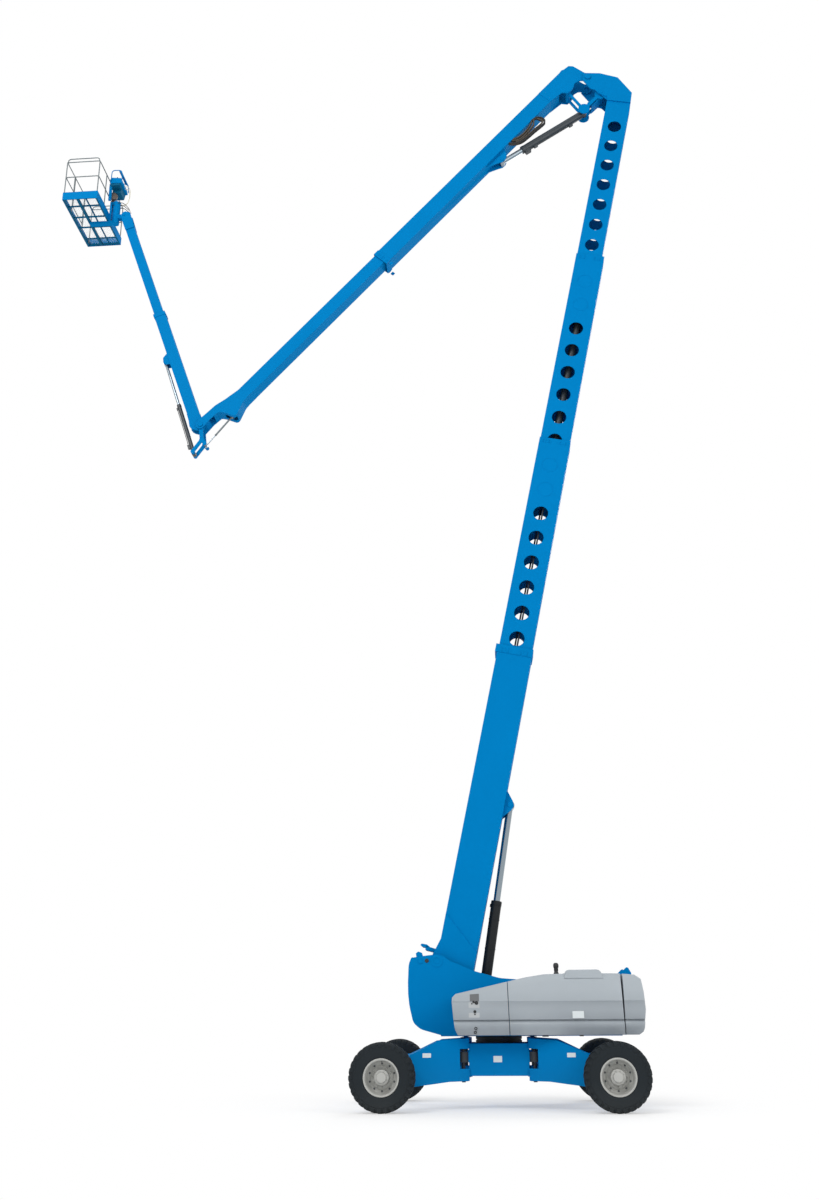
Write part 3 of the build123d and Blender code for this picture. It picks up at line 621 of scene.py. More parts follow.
def moulding(shape, outline, y_in, y_out, sy, rims, radius, formed=True, ends=0.006):
    """Hollow side moulding: an (x, z) outline drawn out sideways, the listed outer edges
    rounded, its side wall given the cowls' form, and its skin left open beneath."""
    bm = bmesh.new()
    m = len(outline)
    inner = [bm.verts.new((x, sy * y_in, z)) for x, z in outline]
    outer = [bm.verts.new((x, sy * y_out, z)) for x, z in outline]
    lowest = min(z for _, z in outline)
    for i in range(m):
        j = (i + 1) % m
        if outline[i][1] - lowest < 1e-4 and outline[j][1] - lowest < 1e-4:
            continue
        bm.faces.new((inner[i], inner[j], outer[j], outer[i]))
    bm.faces.new(inner[::-1])
    bm.faces.new(outer)
    bm.edges.ensure_lookup_table()

    def outer_edge(i):
        """Edge of the outer face that starts at point i of the outline."""
        return bm.edges.get((outer[i], outer[(i + 1) % m]))
    big = [outer_edge(i) for i in rims]
    small = [outer_edge(i) for i in range(m) if i not in rims
             and not (outline[i][1] - lowest < 1e-4 and outline[(i + 1) % m][1] - lowest < 1e-4)]
    bmesh.ops.bevel(bm, geom=small, offset=ends, segments=2, profile=0.5, affect="EDGES",
                    clamp_overlap=True)
    big = [e for e in big if e.is_valid]
    bmesh.ops.bevel(bm, geom=big, offset=radius, segments=8, profile=0.5, affect="EDGES",
                    clamp_overlap=True)
    if formed:
        for z, _ in SIDE_FORM:
            bmesh.ops.bisect_plane(bm, geom=bm.verts[:] + bm.edges[:] + bm.faces[:],
                                   plane_co=(0, 0, z), plane_no=(0, 0, 1))
        for v in bm.verts:
            share = min(max((abs(v.co.y) - (y_out - 0.16)) / 0.15, 0.0), 1.0)
            v.co.y -= sy * side_form(v.co.z) * share
    bmesh.ops.recalc_face_normals(bm, faces=bm.faces)
    # a second skin 10 mm inside the first
    bmesh.ops.solidify(bm, geom=bm.faces[:], thickness=0.010)
    mesh = bpy.data.meshes.new("moulding")
    bm.to_mesh(mesh)
    bm.free()
    shape.bm.from_mesh(mesh)
    bpy.data.meshes.remove(mesh)


# ---- chassis, arms and wheels -------------------------------------------------
class BOOMLIFT_OT_chassis(bpy.types.Operator):
    """Chassis box, slewing ring, axle arms and steering knuckles"""
    bl_idname = "boomlift.chassis"
    bl_label = "Chassis"

    def execute(self, context):
        dress("chassis_box", "boom", 0.010)
        box = Shape()
        # bare plate on the side, and a cover on each end of the chassis
        blank = Shape()
        blank.panel(-0.100, 0.054, 0.784, 0.889, 0.008, -0.8025, -0.7995)
        detail(blank, "chassis_blank_plate", "plate", "chassis_box", slot="rim_paint")
        for sx in (-1, 1):
            box.block(sx * 0.54, sx * 0.552, -0.45, 0.45, 0.62, 1.04)
        detail(box, "chassis_plates", "boom", "chassis_box", 0.003)
        ring = Shape()
        profile = [(0.330, 0), (0.425, 0), (0.430, 0.012), (0.430, 0.045), (0.415, 0.05),
                   (0.415, 0.064), (0.430, 0.069), (0.430, 0.110), (0.425, 0.118), (0.330, 0.118)]
        ring.lathe(profile, (0, 0, 1.10), (0, 0, 1), 96)
        for k in range(72):
            a = math.radians(5 * k)
            c = Vector((math.cos(a), math.sin(a), 0)) * 0.4225
            side = Vector((-math.sin(a), math.cos(a), 0)) * 0.008
            out = Vector((math.cos(a), math.sin(a), 0)) * 0.0072
            vs = [ring.bm.verts.new(c + u + w + Vector((0, 0, z)))
                  for z in (1.117, 1.143) for u, w in ((-side, -out), (side, -out),
                                                       (side * 0.6, out), (-side * 0.6, out))]
            for f in ((0, 1, 2, 3), (4, 5, 6, 7), (0, 1, 5, 4), (1, 2, 6, 5), (2, 3, 7, 6),
                      (3, 0, 4, 7)):
                ring.face([vs[q] for q in f])
        redraw(ring, "slew_ring_teeth", "cast", "slew_ring")
        pins = from_cad(Shape(), "hinge_pins")
        for sx, sy in CORNERS.values():
            x, y = sx * HINGE[0], sy * HINGE[1]
            pins.cap((x, y, 1.191), (0, 0, 1), 0.052, 0.012, 0.040, 0.017)
            for dx, dy in circle(4, 0.042, 45):
                pins.bolt((x + dx, y + dy, 1.203), (0, 0, 1), 0.007, 0.005)
        redraw(pins, "hinge_pin_caps", "cast", "hinge_pins", bevel=0.0015)
        sleeves = Shape()
        for sx, sy in CORNERS.values():
            x, y = sx * HINGE[0], sy * HINGE[1]
            sleeves.ring((x, y, 0.7845), (x, y, 0.9585), 0.0935, 0.0895, 40)
        detail(sleeves, "hinge_sleeves", "cast", "hinge_pins")
        for n, (sx, sy) in CORNERS.items():
            self.arm(n, sx, sy)
            self.knuckle(n, sx, sy)
        return {"FINISHED"}

    def arm(self, n, sx, sy):
        """Axle arm, with its doubler plates, hose saddle and blank plates."""
        turn = math.atan2(sy * (KINGPIN[1] - HINGE[1]), sx * (KINGPIN[0] - HINGE[0]))
        hinge = Matrix.Translation((sx * HINGE[0], sy * HINGE[1], 0))
        along = hinge @ Matrix.Rotation(turn, 4, "Z")
        dress("axle_arm_" + n, "boom", 0.007, 0.05)
        s = Shape(along)
        # doubler plates over the hinge bores
        s.ring((0, 0, 1.19), (0, 0, 1.196), 0.084, 0.056, 32)
        s.ring((0, 0, 0.469), (0, 0, 0.475), 0.084, 0.056, 32)
        # hose saddle on the arm's top
        s.block(1.20, 1.30, -0.05, 0.05, 0.868, 0.874)
        detail(s, "arm_plates_" + n, "boom", "axle_arm_" + n, 0.0025)
        # blank plates on both flanks
        h = Shape()
        for side in (-1, 1):
            h.at = along @ Matrix.Translation((0.62, side * 0.130, 0)) @ Matrix.Rotation(
                -side * math.atan2(0.032, 0.230), 4, "Z")
            h.panel(0.015, 0.165, 0.872, 0.945, 0.006, side * -0.001, side * 0.0025)
        detail(h, "arm_blank_plates_" + n, "plate", "axle_arm_" + n, slot="rim_paint")

    def knuckle(self, n, sx, sy):
        """Steering knuckle with its kingpin caps, motor bolts and steering arm."""
        dress("knuckle_" + n, "boom", 0.006)
        kx, ky = sx * KINGPIN[0], sy * KINGPIN[1]
        s = Shape()
        for z, d in ((0.940, 1), (0.330, -1)):
            s.cap((kx, ky, z), (0, 0, 1), 0.050, 0.010 * d, 0.040, 0.014 * d)
        # drive motor's bolt circle
        for dx, dz in circle(12, 0.165):
            s.bolt((kx + dx, sy * (WHEEL_Y - 0.079), WHEEL_R + dz), (0, sy, 0), 0.011, 0.010)
        # steering arm
        s.link((kx - 0.02, 0.905), (kx - sx * 0.02, 0.905), 0.05, ky - 0.05, ky + 0.05)
        detail(s, "knuckle_fittings_" + n, "cast", "knuckle_" + n, 0.002, slot="cast")


class BOOMLIFT_OT_wheels(bpy.types.Operator):
    """Tyres with their lugs, and the steel wheels"""
    bl_idname = "boomlift.wheels"
    bl_label = "Wheels"

    def execute(self, context):
        size = context.scene.boomlift_size
        for n, (sx, sy) in CORNERS.items():
            centre = Vector((sx * WHEEL_X, sy * WHEEL_Y, WHEEL_R))
            self.tyre(n, centre, sy, size.lug_height, size.lugs)
            self.rim(n, centre, sy)
        return {"FINISHED"}

    def tyre(self, n, centre, sy, lug, count):
        """Tyre carcass with two rows of count lugs, each lug metres high."""
        hw = TYRE_WIDTH / 2
        r = WHEEL_R - lug
        half = [(0.2925, hw - 0.022), (0.300, hw - 0.0215), (0.313, hw - 0.023),
                (0.322, hw - 0.010), (0.345, hw - 0.006), (0.352, hw - 0.003),
                (0.362, hw - 0.0035), (0.400, hw - 0.001), (0.430, hw), (0.460, hw - 0.003),
                (0.465, hw), (0.474, hw), (0.479, hw - 0.006), (0.505, hw - 0.014),
                (r - 0.016, hw - 0.045), (r, hw - 0.085), (r + 0.004, 0.05)]
        t = Shape()
        t.lathe([(a, -h) for a, h in half] + [(a, h) for a, h in half[::-1]],
                centre, (0, 1, 0), 96)
        # chevron lugs, each from the tread's middle over the shoulder
        step = 2 * math.pi / count
        for side in (-1, 1):
            for k in range(count):
                a0 = step * (k + (0.5 if side > 0 else 0))
                rows = []
                for y, top, root, wide, lead in (
                        (0.006, WHEEL_R - 0.001, r - 0.006, 0.052, 0.00),
                        (0.070, WHEEL_R, r - 0.006, 0.056, 0.050),
                        (0.142, WHEEL_R - 0.001, r - 0.008, 0.062, 0.088),
                        (0.178, WHEEL_R - 0.012, r - 0.030, 0.066, 0.100),
                        (0.206, WHEEL_R - 0.034, 0.500, 0.070, 0.104),
                        (0.218, 0.512, 0.486, 0.070, 0.104)):
                    ring = []
                    for radius, w in ((root, wide * 1.18), (top, wide)):
                        for e in (-0.5, 0.5):
                            a = a0 + sy * side * lead / WHEEL_R + e * w / WHEEL_R
                            yy = min(y, hw - 0.001) if radius == top else min(y, hw - 0.004)
                            ring.append(t.bm.verts.new(centre + Vector(
                                (radius * math.sin(a), side * yy, radius * math.cos(a)))))
                    rows.append((ring[0], ring[1], ring[3], ring[2]))
                for p, q in zip(rows, rows[1:]):
                    for i in range(4):
                        j = (i + 1) % 4
                        t.face((p[i], p[j], q[j], q[i]))
                t.face(rows[0])
                t.face(rows[-1])
        redraw(t, "lugged_tyre_" + n, "tyre", "tyre_" + n, bevel=0.003, segments=1, smooth=38)

    def rim(self, n, centre, sy):
        """Steel wheel with its studs, hub, hand holes and valve."""
        s = Shape()
        profile = [(0.270, -0.2175), (0.310, -0.2175), (0.312, -0.2025), (0.292, -0.201),
                   (0.2905, -0.12), (0.2905, 0.201), (0.3115, 0.2025), (0.3125, 0.2105),
                   (0.309, 0.2165), (0.301, 0.2178), (0.292, 0.2150), (0.283, 0.206),
                   (0.276, 0.190), (0.272, 0.150), (0.268, 0.060), (0.255, 0.020),
                   (0.236, 0.004), (0.205, 0.006), (0.190, 0.022), (0.165, 0.026),
                   (0.132, 0.026), (0.131, 0.100), (0.125, 0.116), (0.100, 0.122),
                   (0.088, 0.124), (0.086, 0.160), (0.080, 0.169), (0.02, 0.170),
                   (0.0, 0.170), (0.0, 0.14), (0.06, 0.14), (0.06, -0.02), (0.063, -0.034),
                   (0.20, -0.034), (0.262, -0.03), (0.262, -0.20)]
        s.lathe([(r, h * sy) for r, h in profile], centre, (0, 1, 0), 72)
        for dx, dz in circle(12, 0.1665):
            c = centre + Vector((dx, sy * 0.025, dz))
            s.lathe([(0.0185, 0), (0.0185, 0.004), (0.0165, 0.006)], c, (0, sy, 0), 16, False)
            s.bolt(c + Vector((0, sy * 0.006, 0)), (0, sy, 0), 0.0145, 0.020)
            s.rod(c + Vector((0, sy * 0.026, 0)), c + Vector((0, sy * 0.040, 0)), 0.0085, 10)
        for dx, dz in circle(8, 0.106, 22.5):
            s.bolt(centre + Vector((dx, sy * 0.119, dz)), (0, sy, 0), 0.009, 0.009)
        redraw(s, "wheel_disc_" + n, "rim", "rim_" + n, bevel=0.0012, segments=1, smooth=40)
        # hand holes in the disc, drawn as flat discs painted dark as the shade inside them, and the
        # valve
        h = Shape()
        for dx, dz in circle(10, 0.224, 18):
            h.lathe([(0.0, 0.0), (0.0185, 0.0), (0.0185, 0.0028), (0.0, 0.0028)],
                    centre + Vector((dx, sy * 0.0045, dz)), (0, sy, 0), 20, False)
        c = centre + Vector((0.0, sy * 0.03, 0.258))
        h.rod(c, c + Vector((0, sy * 0.05, -0.012)), 0.007, 10)
        detail(h, "wheel_holes_" + n, "recess", "rim_" + n, slot="tyre")


# ---- turntable ------------------------------------------------------------------
FRONT_COWL = [(-0.716, COWL_FOOT), (-0.763, 1.337), (-0.792, 1.500), (-0.818, 1.800),
              (-0.812, 1.880), (-0.752, 1.942), (0.186, 2.149), (0.207, COWL_FOOT)]
DOOR_COWL = [(0.217, COWL_FOOT), (0.196, 2.151), (0.526, 2.224), (0.849, 2.273), (1.235, 2.282),
             (1.905, 2.284), (2.215, 2.274), (2.245, COWL_FOOT)]
DOOR_HUMP = [(1.215, 2.200), (1.238, 2.290), (1.268, 2.338), (1.300, 2.346), (1.790, 2.350),
             (1.840, 2.340), (1.880, 2.296), (1.915, 2.200)]
REAR_COWL = [(2.257, COWL_FOOT), (2.490, COWL_FOOT), (2.560, 1.290), (2.588, 1.350), (2.629, 1.663),
             (2.612, 1.964), (2.580, 2.177), (2.475, 2.253), (2.257, 2.270)]


class BOOMLIFT_OT_turntable(bpy.types.Operator):
    """Turntable frame, cowls, counterweight, boom rest and beacon"""
    bl_idname = "boomlift.turntable"
    bl_label = "Turntable"

    def execute(self, context):
        r = context.scene.boomlift_size.cowl_round
        dress("turntable_frame", "boom", 0.008, 0.07)
        for name, finish, bevel in (("engine_block", "cast", 0.02), ("tank_block", "abs", 0.03),
                                    ("boom_rest", "boom", 0.006), ("rest_pad", "abs", 0.006)):
            dress(name, finish, bevel)
        self.cowls(r)
        self.weight(r)
        self.fittings()
        return {"FINISHED"}

    def cowls(self, r):
        """Front cowls, and the two side doors with their humps and blank plates."""
        front = Shape()
        for sy in (-1, 1):
            moulding(front, FRONT_COWL, 0.441, COWL_HALF, sy, (1, 2, 3, 4, 5), r * 0.8)
        redraw(front, "front_cowl_mouldings", "cowl", "front_cowls", smooth=50)
        for n, sy in (("near", -1), ("far", 1)):
            door = Shape()
            moulding(door, DOOR_COWL, 0.456, DOOR_HALF, sy, (1, 2, 3, 4, 5), r)
            moulding(door, DOOR_HUMP, 0.560, 1.130, sy, (1, 2, 3, 4, 5), 0.030, False)
            for hx in (1.000, 2.150):
                door.block(hx, hx + 0.012, sy * 0.457, sy * 0.493, 2.217, 2.268)
            redraw(door, "door_moulding_" + n, "cowl", "cowl_door_" + n, smooth=50)
            plate = Shape()
            plate.panel(1.330, 1.535, 1.520, 1.640, 0.008, sy * 1.1815, sy * 1.1855)
            detail(plate, "door_blank_plate_" + n, "plate", "cowl_door_" + n)
        self.ground_controls()

    def ground_controls(self):
        """Switches, sockets and blank films on the near front cowl; the upper film is darker as
        painted shade at the top of the recessed panel.
        """
        def wall(z):
            """Just outside the near cowl's side wall at height z, along y."""
            return -(COWL_HALF - side_form(z)) - 0.0005

        def film(name, finish, pts):
            """Thin film that leans with the wall between its lowest and highest points."""
            low, high = pts[0][1], pts[2][1]
            lean = (wall(high) - wall(low)) / (high - low)
            s = Shape(Matrix(((1, 0, 0, 0), (0, 1, lean, wall(low) - lean * low), (0, 0, 1, 0),
                              (0, 0, 0, 1))))
            s.prism(rounded(pts, 0.010, 3), -0.001, 0.003)
            detail(s, name, finish, "front_cowls", slot="rim_paint")
        film("control_film", "film",
             [(-0.515, 1.540), (-0.320, 1.540), (-0.320, 1.800), (-0.515, 1.800)])
        # the panel's top band: grey vinyl darkened as painted shade from the recess's top edge
        film("control_film_top", "film_dark",
             [(-0.490, 1.815), (-0.325, 1.815), (-0.325, 1.945), (-0.490, 1.935)])
        keys = Shape()
        # key switch, emergency stop and rotary switch, then the two sockets below
        for x, z, r, h in ((-0.372, 1.790, 0.034, 0.012), (-0.425, 1.806, 0.022, 0.010),
                           (-0.455, 1.775, 0.014, 0.008), (-0.404, 1.640, 0.027, 0.010),
                           (-0.404, 1.595, 0.014, 0.006)):
            keys.lathe([(0, 0), (r * 0.8, 0), (r * 0.8, h * 0.5), (r, h * 0.6), (r * 0.9, h),
                        (0, h)], (x, wall(z) + 0.002, z), (0, -1, 0), 20, False)
        for x, z in ((-0.392, 1.356), (-0.403, 1.291)):
            keys.ring((x, -1.150, z), (x, wall(z) - 0.010, z), 0.027, 0.015, 20)
        detail(keys, "ground_controls", "abs", "front_cowls", slot="black_plastic")

    def weight(self, r):
        """Counterweight casting under its cowls, with the fittings in its rear face."""
        s = Shape()
        for sy in (-1, 1):
            moulding(s, REAR_COWL, 0.452, COWL_HALF, sy, (2, 3, 4, 5, 6, 7), r * 0.8)
        low = [(2.257, 1.262), (2.512, 1.262), (2.585, 1.336), (2.629, 1.663), (2.620, 1.799),
               (2.387, 1.799), (2.387, 1.736), (2.257, 1.736)]
        s.prism(low, -0.4515, 0.4515)
        redraw(s, "counterweight_casting", "cowl", "counterweight", smooth=50)
        t = Shape()
        # tail lamps and tie-down slots in the rear face; the slots are solid black blocks, painted
        # shade standing for the openings
        for sy in (-1, 1):
            t.panel(2.600, 2.6285, 1.560, 1.630, 0.01, sy * 0.90, sy * 1.02)
            t.block(2.560, 2.580, sy * 0.60, sy * 0.72, 1.345, 1.40)
        detail(t, "counterweight_fittings", "abs", "counterweight", 0.003, slot="black_plastic")

    def fittings(self):
        """Beacon on the near door, caps on the boom's pivot, and the deck's brackets."""
        beacon = Shape()
        c = (1.085, -0.900)
        beacon.lathe([(0, 0), (0.046, 0), (0.048, 0.008), (0.044, 0.020), (0.036, 0.034),
                      (0.033, 0.060), (0.0, 0.060)], (*c, 2.2795), (0, 0, 1), 32, False)
        beacon.lathe([(0.0, 0), (0.038, 0), (0.039, 0.010), (0.039, 0.055), (0.044, 0.062),
                      (0.049, 0.078), (0.0495, 0.105), (0.045, 0.126), (0.033, 0.140),
                      (0.015, 0.147), (0.0, 0.148)], (*c, 2.330), (0, 0, 1), 32, False)
        for k in range(4):
            beacon.ring((*c, 2.345 + 0.012 * k), (*c, 2.350 + 0.012 * k), 0.0345, 0.030, 32)
        redraw(beacon, "beacon_lamp", "abs", "beacon", smooth=45)
        s = Shape()
        for sy in (-1, 1):
            s.cap((-1.306, sy * 0.441, 2.555), (0, sy, 0), 0.038, 0.008, 0.032, 0.012)
        detail(s, "pivot_caps", "cast", "turntable_frame", 0.002, slot="cast")
        step = Shape()
        for sy in (-1, 1):
            step.block(0.785, 0.895, sy * 0.98, sy * 1.10, 1.213, COWL_FOOT)
            step.block(1.445, 1.515, sy * 1.00, sy * 1.10, 1.218, COWL_FOOT)
        detail(step, "deck_brackets", "cast", "turntable_frame", 0.003, slot="cast")


# ---- primary boom -----------------------------------------------------------------
class BOOMLIFT_OT_primary(bpy.types.Operator):
    """Primary boom, its hoses and its lift cylinder"""
    bl_idname = "boomlift.primary"
    bl_label = "Primary boom"

    def execute(self, context):
        for n, finish, b in (("primary_base", "boom", 0.010), ("primary_second", "boom", 0.008),
                             ("primary_third", "boom", 0.008), ("primary_fly", "boom", 0.007),
                             ("elbow_head", "boom", 0.008), ("extend_cylinder", "barrel", 0.004),
                             ("service_rods", "cast", 0.002)):
            dress(n, finish, b)
        self.bands()
        self.discs()
        self.foot()
        self.lift()
        return {"FINISHED"}

    def bands(self):
        """Wear-pad screws at each section's mouth."""
        for node, x, n0, n1, w in (("primary_base", 6.30, -0.705, 0.015, 0.272),
                                   ("primary_second", 11.19, -0.687, -0.003, 0.242),
                                   ("primary_third", 16.03, -0.670, -0.020, 0.225)):
            s = Shape("primary")
            t = 0.004
            for sy in (-1, 1):
                for n in (0.14, 0.32, 0.68, 0.86):
                    z = n0 + (n1 - n0) * n
                    s.block(x - 0.045, x + 0.045, sy * w, sy * (w + t), z - 0.05, z + 0.05)
                    for dx in (-0.022, 0.022):
                        s.bolt((x + dx, sy * (w + t), z), (0, sy, 0), 0.012, 0.010)
            detail(s, "pad_screws_" + node, "boom", node, 0.0015)

    def discs(self):
        """Pressed rings where the section's holes stay closed, and turned lips on the holes."""
        for node, w, blind, first, count in (
                ("primary_second", 0.242, (10.630, 10.042), 9.465, 6),
                ("primary_third", 0.225, (15.387, 14.758), 14.116, 6),
                ("primary_fly", 0.206, (), 19.850, 8)):
            s = Shape("primary")
            for sy in (-1, 1):
                for x in blind:
                    s.ring((x, sy * (w - 0.002), HOLE_N), (x, sy * (w + 0.0035), HOLE_N),
                           HOLE_R + 0.006, HOLE_R - 0.006, 48)
                for k in range(count):
                    x = first - k * HOLE_STEP
                    s.ring((x, sy * (w - 0.0115), HOLE_N), (x, sy * (w + 0.002), HOLE_N),
                           HOLE_R + 0.0002, HOLE_R - 0.006, 48)
            detail(s, "hole_lips_" + node, "boom", node, 0.001)

    def foot(self):
        """Hook lip on the boom's foot, and the angle sensor's bracket beside it."""
        s = Shape("primary")
        s.prism(rounded([(0.235, 0.20), (0.265, 0.26), (0.262, 0.36), (0.232, 0.385),
                         (0.205, 0.345), (0.212, 0.24)], 0.012, 4), -0.18, 0.18)
        detail(s, "hook_lip", "boom", "primary_base", 0.004)
        g = Shape()
        g.prism(rounded([(-1.50, 2.60), (-1.515, 2.69), (-1.47, 2.725), (-1.40, 2.70),
                         (-1.375, 2.62)], 0.015, 4), -0.42, -0.36)
        g.prism(rounded([(-1.46, 2.50), (-1.47, 2.57), (-1.41, 2.60), (-1.37, 2.52)], 0.012, 4),
                -0.452, -0.440)
        detail(g, "sensor_bracket", "boom", "turntable_frame", 0.003)

    def lift(self):
        """Lift cylinder with its gland, ports, holding valve and three bands round the barrel."""
        dress("lift_barrel", "lift", 0.004)
        dress("lift_rod", "chrome", 0.001)
        s = Shape(cylinder_frame(LIFT_FOOT, LIFT_HEAD))
        s.lathe([(0.0665, 0), (0.092, 0), (0.098, 0.006), (0.104, 0.010), (0.104, 0.090),
                 (0.101, 0.096), (0.0665, 0.096)], (2.150, 0, 0), (-1, 0, 0), 40)
        s.block(0.24, 0.40, -0.05, 0.05, 0.085, 0.155)
        s.block(0.285, 0.345, -0.075, -0.045, 0.095, 0.145)
        s.block(2.02, 2.08, -0.03, 0.03, 0.09, 0.118)
        for x in (0.7, 1.25, 1.8):
            s.ring((x - 0.012, 0, 0), (x + 0.012, 0, 0), 0.1045, 0.099, 40)
        detail(s, "lift_gland", "lift", "lift_barrel", 0.002)


# ---- elbow and secondary boom ------------------------------------------------------
def cylinder_fittings(s, length, r, rod, port=0.30):
    """Gland nut, straps and ports along +X of the shape's frame."""
    s.lathe([(rod + 0.002, 0), (r * 0.9, 0), (r + 0.004, 0.008), (r + 0.004, 0.07),
             (rod + 0.002, 0.07)], (length, 0, 0), (-1, 0, 0), 36)
    s.block(port, port + 0.10, -0.03, 0.03, r * 0.85, r + 0.045)
    s.block(length - 0.12, length - 0.07, -0.02, 0.02, r * 0.85, r + 0.03)
    s.sweep([(port + 0.10, 0, r + 0.03), (port + 0.16, 0, r + 0.018),
             ((port + length) / 2, 0, r + 0.016), (length - 0.16, 0, r + 0.016),
             (length - 0.12, 0, r + 0.016)], 0.008, 8, 4)


def cylinder_frame(p, q):
    """Frame at point p (x, z), with X along the cylinder towards q."""
    return Matrix.Translation((p[0], 0, p[1])) @ Matrix.Rotation(
        -math.atan2(q[1] - p[1], q[0] - p[0]), 4, "Y")


class BOOMLIFT_OT_secondary(bpy.types.Operator):
    """Elbow links, fold cylinder and secondary boom"""
    bl_idname = "boomlift.secondary"
    bl_label = "Secondary boom"

    def execute(self, context):
        for n, finish, b in (("link_a", "boom", 0.004), ("link_b", "boom", 0.004),
                             ("fold_barrel", "barrel", 0.004), ("fold_rod", "chrome", 0.001),
                             ("secondary_base", "boom", 0.008), ("secondary_fly", "boom", 0.006)):
            dress(n, finish, b, 0.04 if n == "secondary_fly" else 0.0)
        s = Shape(cylinder_frame(LINK_PIN, FOLD_FOOT))
        cylinder_fittings(s, 1.860, 0.088, 0.058, 0.42)
        s.ring((1.690, 0, 0), (1.800, 0, 0), 0.0875, 0.060, 36)
        # port block under the mouth and the hard line that feeds it
        s.block(1.68, 1.82, -0.05, 0.05, 0.075, 0.150)
        s.block(1.46, 1.56, -0.035, 0.035, 0.080, 0.125)
        detail(s, "fold_fittings", "barrel", "fold_barrel", 0.002)
        self.bundle(context.scene.boomlift_size.hose)
        # wear-pad plates at the base section's mouth, two screws in each
        t, x = Shape("secondary"), 6.86
        for sy in (-1, 1):
            for z in (-0.45, -0.33, -0.18, -0.06):
                t.block(x - 0.04, x + 0.04, sy * 0.202, sy * 0.206, z - 0.04, z + 0.04)
                for dx in (-0.018, 0.018):
                    t.bolt((x + dx, sy * 0.206, z), (0, sy, 0), 0.010, 0.009)
        detail(t, "secondary_screws", "boom", "secondary_base", 0.0015)
        # closing strips under the goose neck, either side of the level link's cylinder
        line = [(12.045, -0.106), (12.125, -0.131), (12.205, -0.361), (12.276, -0.481)]
        g = Shape("secondary")
        for sy in (-1, 1):
            g.prism(line + [(x - 0.010, n - 0.006) for x, n in line[::-1]],
                    sy * 0.075, sy * 0.1495)
        detail(g, "goose_closing_strips", "boom", "secondary_fly", 0.001)
        # elbow pin caps on the head, and the keeper plates of the links' pins
        c = Shape()
        for sy in (-1, 1):
            c.cap((ELBOW_PIN[0], sy * 0.2625, ELBOW_PIN[1]), (0, sy, 0),
                  0.075, 0.008, 0.065, 0.013, 36)
            c.cap((LINK_HEAD[0], sy * 0.2405, LINK_HEAD[1]), (0, sy, 0),
                  0.052, 0.006, 0.045, 0.010, 28)
        detail(c, "elbow_pin_caps", "boom", "elbow_head", 0.0015)
        return {"FINISHED"}

    def bundle(self, d):
        """Hoses that leave the tube by the elbow, turn back in a loop and run beside the fold
        cylinder's foot, with their sleeves and ferrules."""
        random.seed(7)
        low = -0.160
        # each hose's finish, its place across the boom and how far inside the others it lies
        for k, (finish, y, e) in enumerate((
                ("hose", -0.180, 0.0), ("sleeve", -0.148, 0.012), ("hose", -0.117, 0.0),
                ("sleeve", -0.165, 0.050), ("hose", -0.132, 0.060))):
            s = Shape("secondary")
            pts = [(1.66, y, low + 0.004), (1.50, y, low + 0.022), (1.415 + e, y, -0.040),
                   (1.405 + e, y, 0.055), (1.465 + e, y, 0.125 - e), (1.60, y, 0.126 - e),
                   (1.80, y + random.uniform(-0.003, 0.003), 0.104 - e),
                   (2.05, y + random.uniform(-0.003, 0.003), 0.090 - e), (2.26, y, 0.055 - e),
                   (2.41, y, -0.050), (2.48, y, low + 0.006)]
            s.sweep(pts, d * 0.62, 10, 5)
            for x, n, slope in ((1.75, 0.109, -0.01), (2.10, 0.084, -0.02), (2.28, 0.042, -0.05)):
                s.rod((x, y, n - e), (x + 0.05, y, n - e + slope), d * 0.78, 6)
            detail(s, "secondary_hose_%d" % k, finish, "secondary_base", slot="cast")
        s = Shape("secondary")
        for y in (-0.172, -0.143, -0.118):
            for e in (0.0, 0.055):
                s.sweep([(1.62 - e, y, low + 0.006), (1.74 - e, y, -0.105 + e),
                         (1.96, y, -0.070 + e), (2.18 + e, y, -0.085 + e),
                         (2.32 + e, y, low + 0.006)], d * 0.62, 10, 5)
        detail(s, "secondary_inner_hoses", "sleeve", "secondary_base", slot="cast")


